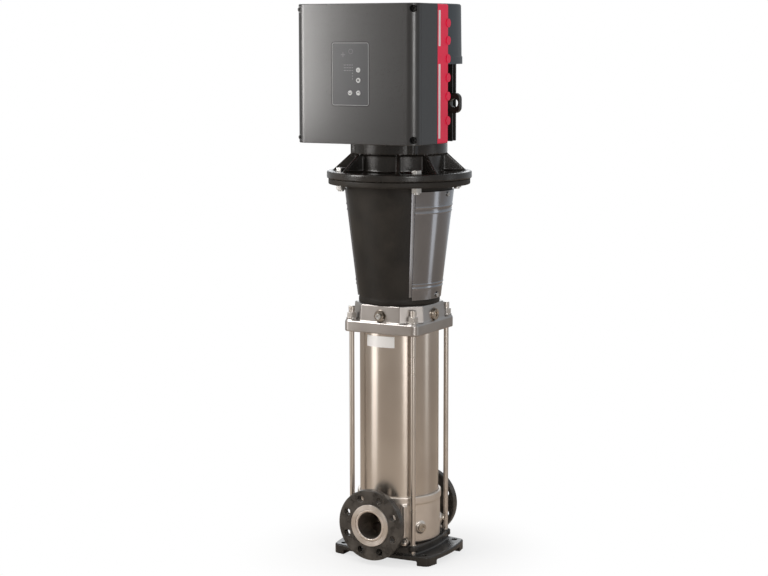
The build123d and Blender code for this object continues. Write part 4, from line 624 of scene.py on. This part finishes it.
thread_flow, given, result = flow_of(
    "rolled_thread",
    {
        "Geometry": "NodeSocketGeometry",
        "Radius": "NodeSocketFloat",
        "Pitch": "NodeSocketFloat",
        "Length": "NodeSocketFloat",
        "Depth": "NodeSocketFloat",
        "Finish": "NodeSocketMaterial",
    },
)
turns = thread_flow.nodes.new("ShaderNodeMath")
turns.operation = "DIVIDE"
spiral = thread_flow.nodes.new("GeometryNodeCurveSpiral")
spiral.inputs["Resolution"].default_value = 20
crest = thread_flow.nodes.new("GeometryNodeCurvePrimitiveCircle")
crest.inputs["Resolution"].default_value = 4
sweep = thread_flow.nodes.new("GeometryNodeCurveToMesh")
sweep.inputs["Fill Caps"].default_value = True
copies = thread_flow.nodes.new("GeometryNodeInstanceOnPoints")
realize = thread_flow.nodes.new("GeometryNodeRealizeInstances")
paint = thread_flow.nodes.new("GeometryNodeSetMaterial")
link = thread_flow.links.new
link(given.outputs["Length"], turns.inputs[0])
link(given.outputs["Pitch"], turns.inputs[1])
link(turns.outputs[0], spiral.inputs["Rotations"])
link(given.outputs["Radius"], spiral.inputs["Start Radius"])
link(given.outputs["Radius"], spiral.inputs["End Radius"])
link(given.outputs["Length"], spiral.inputs["Height"])
link(given.outputs["Depth"], crest.inputs["Radius"])
link(spiral.outputs[0], sweep.inputs["Curve"])
link(crest.outputs["Curve"], sweep.inputs["Profile Curve"])
link(given.outputs["Geometry"], copies.inputs["Points"])
link(sweep.outputs[0], copies.inputs["Instance"])
link(copies.outputs[0], realize.inputs[0])
link(realize.outputs[0], paint.inputs["Geometry"])
link(given.outputs["Finish"], paint.inputs["Material"])
link(paint.outputs[0], result.inputs[0])

rod_pale = (0.66, 0.62, 0.58)
rod_shade = (0.58, 0.54, 0.50)
rod_steel = bar_metal("rod_steel", rod_pale, rod_shade, rough=0.28, smudge=9, grain=300)
nut_steel = bar_metal("nut_steel", (0.68, 0.67, 0.65), (0.55, 0.53, 0.51), rough=0.28)
stay_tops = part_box("staybolts")[1]
nut_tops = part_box("staybolt_nuts")[1]
stay_thread_radius = 0.008
stay_offset = stay_tops.x - stay_thread_radius
edged("staybolts", "staybolt_rods", rod_steel, width=0.0005)
edged("staybolt_washers", "staybolt_washer_set", nut_steel, width=0.0004)
edged("staybolt_nuts", "staybolt_nut_set", nut_steel, width=0.0009)
thread_depth = 0.0006
thread_pitch = 0.002
thread_end = 0.0022
stay_places = (-stay_offset, stay_offset)
stay_spots = [(x, y, nut_tops.z) for x in stay_places for y in stay_places]
thread_values = {
    "Radius": stay_thread_radius - thread_depth / 2,
    "Pitch": thread_pitch,
    "Length": stay_tops.z - nut_tops.z - thread_end,
    "Depth": thread_depth,
    "Finish": rod_steel,
}
stay_threads = grown("staybolt_threads", stay_spots, thread_flow, thread_values)
attach(stay_threads, rod_steel, "pump")

# Vent plug, its screw and the priming plug: turned from stainless bar and screwed into the
# head's front and right faces. Use has stained them in patches.
vent_bright, vent_stain = (0.60, 0.56, 0.51), (0.10, 0.085, 0.07)
priming_bright, priming_stain = (0.62, 0.56, 0.49), (0.18, 0.145, 0.11)
vent_steel = bar_metal("vent_steel", vent_bright, vent_stain, rough=0.16, smudge=95)
priming_steel = bar_metal("priming_steel", priming_bright, priming_stain, rough=0.18, smudge=95)
edged("vent_plug", "vent_plug_body", vent_steel, width=0.0007)
edged("vent_screw", "vent_screw_body", plated_zinc, width=0.0005)
edged("priming_plug", "priming_plug_body", priming_steel, width=0.0007)

# Motor stool: a tapering iron casting that stands on the head and carries the motor, painted
# a dull black that shows the sand's grain.
stool_paint = (0.014, 0.012, 0.010)
stool_worn = (0.024, 0.020, 0.016)
stool_black = casting_paint(
    "stool_black", stool_paint, stool_worn, matt=0.60, shine=0.46, gloss=0.2
)
sand_cast("motor_stool", "motor_stool_casting", stool_black, grid=0.0027, rounds=4)

# Coupling guards: stainless sheets with pressed beads, bent to the stool's taper and screwed
# over its two windows.
guard_steel = ground_steel("guard_steel", (0.325, 0.335, 0.36), (0.265, 0.275, 0.30), rough=0.20)
edged("coupling_guard_right", "guard_sheet_right", guard_steel, width=0.0003, segments=1)
edged("coupling_guard_left", "guard_sheet_left", guard_steel, width=0.0003, segments=1)
edged("guard_screws", "guard_screw_set", plated_zinc, width=0.0005)

# Drive-end shield and its bolts: the motor's lower casting, in a harder, glossier black, held
# to the stool by four plated bolts.
motor_paint = (0.009, 0.008, 0.007)
motor_worn = (0.024, 0.020, 0.017)
motor_black = casting_paint(
    "motor_black", motor_paint, motor_worn, matt=0.30, shine=0.18, gloss=0.40
)
sand_cast("drive_end_shield", "drive_end_casting", motor_black, grid=0.0023, rounds=3)
edged("flange_bolts", "flange_bolt_set", plated_zinc, width=0.0009)
edged("flange_nuts", "flange_nut_set", plated_zinc, width=0.0009)

# Stator frame, fan-end shield and lifting eyes: the motor's finned housing and its upper
# casting, with an eye on a neck between the fins on either side, all in the same black.
edged("stator_frame", "stator_housing", motor_black, width=0.0010)
edged("fan_end_shield", "fan_end_casting", motor_black, width=0.0010)
sand_cast("lifting_eyes", "lifting_eye_pair", motor_black, grid=0.0013, rounds=4)


# Fan cover: a deep-drawn steel cowl, powder coated slate grey, with slots in its top that let
# the air in. Small plated screws hold its rim.
def powder_coat(name, colour, rough, depth=0.00006, gloss=0.5):
    """Powder coat or textured moulding: one colour with a fine even orange peel."""
    peel_scale, patch_scale = 650, 5
    patch_shade = 0.86
    shinier, duller = 0.04, 0.06
    finish, tree, skin, place = new_finish(name)
    skin.inputs["Specular IOR Level"].default_value = gloss
    peel = node_noise(tree, place, peel_scale, detail=2)
    patches = node_noise(tree, place, patch_scale, detail=3)
    shade = tuple(patch_shade * part for part in colour)
    tinted(tree, patches, colour, shade, skin.inputs["Base Color"])
    ranged(tree, peel, rough - shinier, rough + duller, skin.inputs["Roughness"])
    grained(tree, skin, peel, depth)
    return finish


cowl_slate = powder_coat("cowl_slate", (0.042, 0.052, 0.060), rough=0.42, depth=0.00006, gloss=0.4)
edged("fan_cover", "fan_cowl", cowl_slate, width=0.0008)
edged("fan_cover_screws", "fan_cowl_screws", plated_zinc, width=0.0005)

# Drive box, rear half: a moulded crimson frame that saddles the motor, with closed cable
# knock-outs down its sides.
crimson = (0.78, 0.012, 0.060)
frame_crimson = powder_coat("frame_crimson", crimson, rough=0.32, depth=0.00004, gloss=0.3)
edged("drive_frame", "drive_frame_moulding", frame_crimson, width=0.0024, segments=4)


# Blank strips: two pieces of pale film on the crimson frame's right side, between the seam and
# the row of knock-outs. Nothing is printed on them.
def flat_plate(name, outline, back, front, facing="Y"):
    """A thin plate with this outline of (across, z) points, from back to front along an axis."""
    work = bmesh.new()
    layers = []
    for depth in (back, front):
        if facing == "Y":
            layers.append([work.verts.new((across, depth, z)) for across, z in outline])
        else:
            layers.append([work.verts.new((depth, across, z)) for across, z in outline])
    work.faces.new(layers[0])
    work.faces.new(list(reversed(layers[1])))
    for k in range(len(outline)):
        m = (k + 1) % len(outline)
        work.faces.new((layers[0][k], layers[1][k], layers[1][m], layers[0][m]))
    bmesh.ops.recalc_face_normals(work, faces=work.faces)
    return new_piece(name, work)


def soft_rectangle(left, right, low, high, corner, steps=6):
    """The outline of a rectangle with rounded corners."""
    outline = []
    middles = ((right - corner, high - corner), (left + corner, high - corner))
    middles += ((left + corner, low + corner), (right - corner, low + corner))
    for quarter, (across, z) in enumerate(middles):
        for step in range(steps + 1):
            angle = math.pi / 2 * (quarter + step / steps)
            outline.append((across + corner * math.cos(angle), z + corner * math.sin(angle)))
    return outline


strip_film = powder_coat("strip_film", (0.74, 0.66, 0.66), rough=0.40, depth=0.00002)
frame_side = 0.1735
film_back = frame_side - 0.0002
film_front = frame_side + 0.0003
film_left, film_right = -0.1135, -0.1035
film_corner = 0.001
film_heights = {"blank_strip_upper": (1.332, 1.420), "blank_strip_lower": (1.104, 1.288)}
for name, (low, high) in film_heights.items():
    film_outline = soft_rectangle(film_left, film_right, low, high, film_corner)
    blank_strip = flat_plate(name, film_outline, film_back, film_front, "X")
    attach(blank_strip, strip_film, "pump")

# Drive box, front half: a deep charcoal cover with broad rounded upright edges, held by four
# black screws in its corners.
charcoal = (0.011, 0.011, 0.0115)
cover_charcoal = powder_coat("cover_charcoal", charcoal, rough=0.31, depth=0.00007, gloss=0.72)
edged("box_cover", "box_cover_moulding", cover_charcoal, width=0.0014, segments=3)
screw_black = bar_metal("screw_black", (0.03, 0.03, 0.03), (0.02, 0.02, 0.02), rough=0.40)
edged("cover_screws", "cover_screw_set", screw_black, width=0.0005)

# Keypad: a satin film set in a shallow recess of the cover. A ring painted near-black round it
# stands for the shade in the gap, and a ring painted pale grey on its turned-up edge stands for the
# highlight that edge catches.
panel_film = powder_coat("panel_film", (0.020, 0.021, 0.024), rough=0.38, depth=0.00002, gloss=0.55)
edged("keypad_panel", "keypad_film", panel_film, width=0.0003, segments=1)
panel_low, panel_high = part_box("keypad_panel")
cover_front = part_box("box_cover")[0].y
panel_front = panel_low.y
panel_corner = 0.006


def framed(name, margin_out, margin_in, back, front, finish):
    """A rounded rectangular ring round the keypad, made of an outer and an inner outline."""
    outlines = []
    for margin in (margin_out, margin_in):
        left, right = panel_low.x - margin, panel_high.x + margin
        low, high = panel_low.z - margin, panel_high.z + margin
        outlines.append(soft_rectangle(left, right, low, high, panel_corner + margin))
    outer, inner = outlines
    rows = []
    for outline, depth in ((outer, back), (outer, front), (inner, front), (inner, back)):
        rows.append([(across, depth, z) for across, z in outline])
    piece = bridged(name, rows)
    attach(piece, finish, "pump")


# Painted shade and painted highlight: the gap's ring is near-black, the edge's ring pale grey.
gap_painted_shade = powder_coat("gap_painted_shade", (0.008, 0.008, 0.008), rough=0.60, depth=0.00002, gloss=0.3)
edge_painted_highlight = powder_coat("edge_painted_highlight", (0.20, 0.20, 0.20), rough=0.30, depth=0.00002, gloss=0.8)
gap_width = 0.0019
gap_front = cover_front - 0.00005
rim_outer, rim_inner = -0.0004, -0.0020
rim_back = panel_front + 0.0002
rim_front = cover_front - 0.0001
framed("keypad_gap", gap_width, 0.0, panel_front, gap_front, gap_painted_shade)
framed("keypad_edge", rim_outer, rim_inner, rim_back, rim_front, edge_painted_highlight)

# Lamps under the film: faint domes in three rows of six, with a column below the last, a plain
# ring above them and a small cross beside it.
lamp_flow, given, result = flow_of(
    "lamp_domes",
    {"Geometry": "NodeSocketGeometry", "Radius": "NodeSocketFloat", "Finish": "NodeSocketMaterial"},
)
dome = lamp_flow.nodes.new("GeometryNodeMeshUVSphere")
dome.inputs["Segments"].default_value = 10
dome.inputs["Rings"].default_value = 6
squat = lamp_flow.nodes.new("GeometryNodeTransform")
squat.inputs["Scale"].default_value = (1.0, 0.35, 1.0)
copies = lamp_flow.nodes.new("GeometryNodeInstanceOnPoints")
realize = lamp_flow.nodes.new("GeometryNodeRealizeInstances")
paint = lamp_flow.nodes.new("GeometryNodeSetMaterial")
link = lamp_flow.links.new
link(given.outputs["Radius"], dome.inputs["Radius"])
link(dome.outputs["Mesh"], squat.inputs["Geometry"])
link(given.outputs["Geometry"], copies.inputs["Points"])
link(squat.outputs[0], copies.inputs["Instance"])
link(copies.outputs[0], realize.inputs[0])
link(realize.outputs[0], paint.inputs["Geometry"])
link(given.outputs["Finish"], paint.inputs["Material"])
link(paint.outputs[0], result.inputs[0])
lamp_film = powder_coat("lamp_film", (0.30, 0.30, 0.305), rough=0.35, depth=0.00002)
lamp_radius = 0.0010
lamp_last = -0.006
lamp_top = 1.286
lamp_step = 0.0047
lamp_drop = 0.0068
lamp_places = [(column, row) for column in range(6) for row in range(3)]
lamp_places += [(0, row) for row in range(3, 6)]
lamp_spots = [
    (lamp_last - column * lamp_step, panel_front, lamp_top - row * lamp_drop)
    for column, row in lamp_places
]
lamp_values = {"Radius": lamp_radius, "Finish": lamp_film}
lamps = grown("keypad_lamps", lamp_spots, lamp_flow, lamp_values)
attach(lamps, lamp_film, "pump")
mark_lift = 0.0003
ring_x, ring_z = -0.011, 1.319
ring_outer, ring_inner = 0.0064, 0.0050
ring_sides = 32
ring_profile = [(ring_outer, 0), (ring_outer, mark_lift), (ring_inner, mark_lift), (ring_inner, 0)]
ring_rows = []
for radius, lift in ring_profile:
    row = []
    for step in range(ring_sides):
        angle = 2 * math.pi * step / ring_sides
        across, z = ring_x + radius * math.cos(angle), ring_z + radius * math.sin(angle)
        row.append((across, panel_front - lift, z))
    ring_rows.append(row)
state_ring = bridged("state_ring", ring_rows)
cross_x, cross_z = -0.033, 1.311
cross_arm, cross_half = 0.0060, 0.0012
cross_outline = []
for across, up in ((1, 1), (-1, 1), (-1, -1), (1, -1)):
    corners = [(cross_arm * across, cross_half * up), (cross_half * across, cross_half * up)]
    corners.append((cross_half * across, cross_arm * up))
    cross_outline += corners if across * up > 0 else corners[::-1]
cross_outline = [(cross_x + across, cross_z + up) for across, up in cross_outline]
state_cross = flat_plate("state_cross", cross_outline, panel_front, panel_front - mark_lift)
state_grey = powder_coat("state_grey", (0.10, 0.10, 0.105), rough=0.38, depth=0.00002)
for mark in (state_ring, state_cross):
    attach(mark, state_grey, "pump")

# Keys: four pale domed caps. Each has a plain dark mark in the middle: a stroke, a disc and
# two arrowheads.
key_pale = powder_coat("key_pale", (0.44, 0.44, 0.43), rough=0.34, depth=0.00003)
key_ink = powder_coat("key_ink", (0.040, 0.040, 0.042), rough=0.50, depth=0.00002)
stroke_half, stroke_reach = 0.0009, 0.0030
stroke = [(-stroke_half, -stroke_reach), (stroke_half, -stroke_reach)]
stroke += [(stroke_half, stroke_reach), (-stroke_half, stroke_reach)]
disc_radius = 0.0030
disc_turns = [math.pi * step / 12 for step in range(24)]
disc = [(disc_radius * math.cos(turn), disc_radius * math.sin(turn)) for turn in disc_turns]
arrow_reach = 0.0036
arrow_low, arrow_high = -0.0022, -0.0002
arrow_inside, arrow_tip = 0.0012, 0.0034
arrow = [(-arrow_reach, arrow_low), (0.0, arrow_inside), (arrow_reach, arrow_low)]
arrow += [(arrow_reach, arrow_high), (0.0, arrow_tip), (-arrow_reach, arrow_high)]
key_marks = {
    "button_on": stroke,
    "button_off": disc,
    "button_up": arrow,
    "button_down": [(across, -up) for across, up in reversed(arrow)],
}
mark_depth = 0.0002
for node, outline in key_marks.items():
    edged(node, node + "_cap", key_pale, width=0.0011, segments=3)
    key_low, key_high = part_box(node)
    middle_x, middle_z = (key_low.x + key_high.x) / 2, (key_low.z + key_high.z) / 2
    mark_outline = [(middle_x + across, middle_z + up) for across, up in outline]
    mark_back, mark_front = key_low.y + mark_depth, key_low.y - mark_depth
    mark = flat_plate(node + "_mark", mark_outline, mark_back, mark_front)
    attach(mark, key_ink, body_of[node])

# Inside: the pieces that the casings hide. They keep their own shapes, and each takes the
# finish of what it is made of.
inner_steel = bar_metal("inner_steel", (0.60, 0.59, 0.57), (0.52, 0.50, 0.48), rough=0.28)
inner_finishes = {
    "pressed_stainless": blasted_steel(
        "pressed_steel", (0.62, 0.61, 0.59), (0.55, 0.53, 0.51), matt=0.34
    ),
    "bar_stainless": inner_steel,
    "zinc_steel": plated_zinc,
    "carbide": powder_coat("carbide_black", (0.05, 0.05, 0.055), rough=0.22, depth=0.00002),
    "ring_plastic": powder_coat("ring_plastic", (0.60, 0.54, 0.40), rough=0.45, depth=0.00005),
    "coupling_iron": blasted_steel(
        "coupling_iron", (0.20, 0.20, 0.21), (0.14, 0.14, 0.15), matt=0.42
    ),
    "bearing_steel": bar_metal("bearing_steel", (0.68, 0.68, 0.69), (0.60, 0.60, 0.61), rough=0.18),
    "core_steel": powder_coat("core_steel", (0.11, 0.11, 0.12), rough=0.50),
    "copper": bar_metal("copper_wire", (0.55, 0.26, 0.11), (0.42, 0.18, 0.07), rough=0.34),
    "fan_plastic": powder_coat("fan_plastic", (0.02, 0.02, 0.022), rough=0.50),
    "gasket_rubber": powder_coat("gasket_rubber", (0.012, 0.012, 0.012), rough=0.70),
    "board_green": powder_coat("board_green", (0.02, 0.11, 0.05), rough=0.30, depth=0.00005),
}
for node, piece in nodes.items():
    if slot_of[node] in inner_finishes and piece.visible_get():
        piece.data.materials.clear()
        piece.data.materials.append(inner_finishes[slot_of[node]])
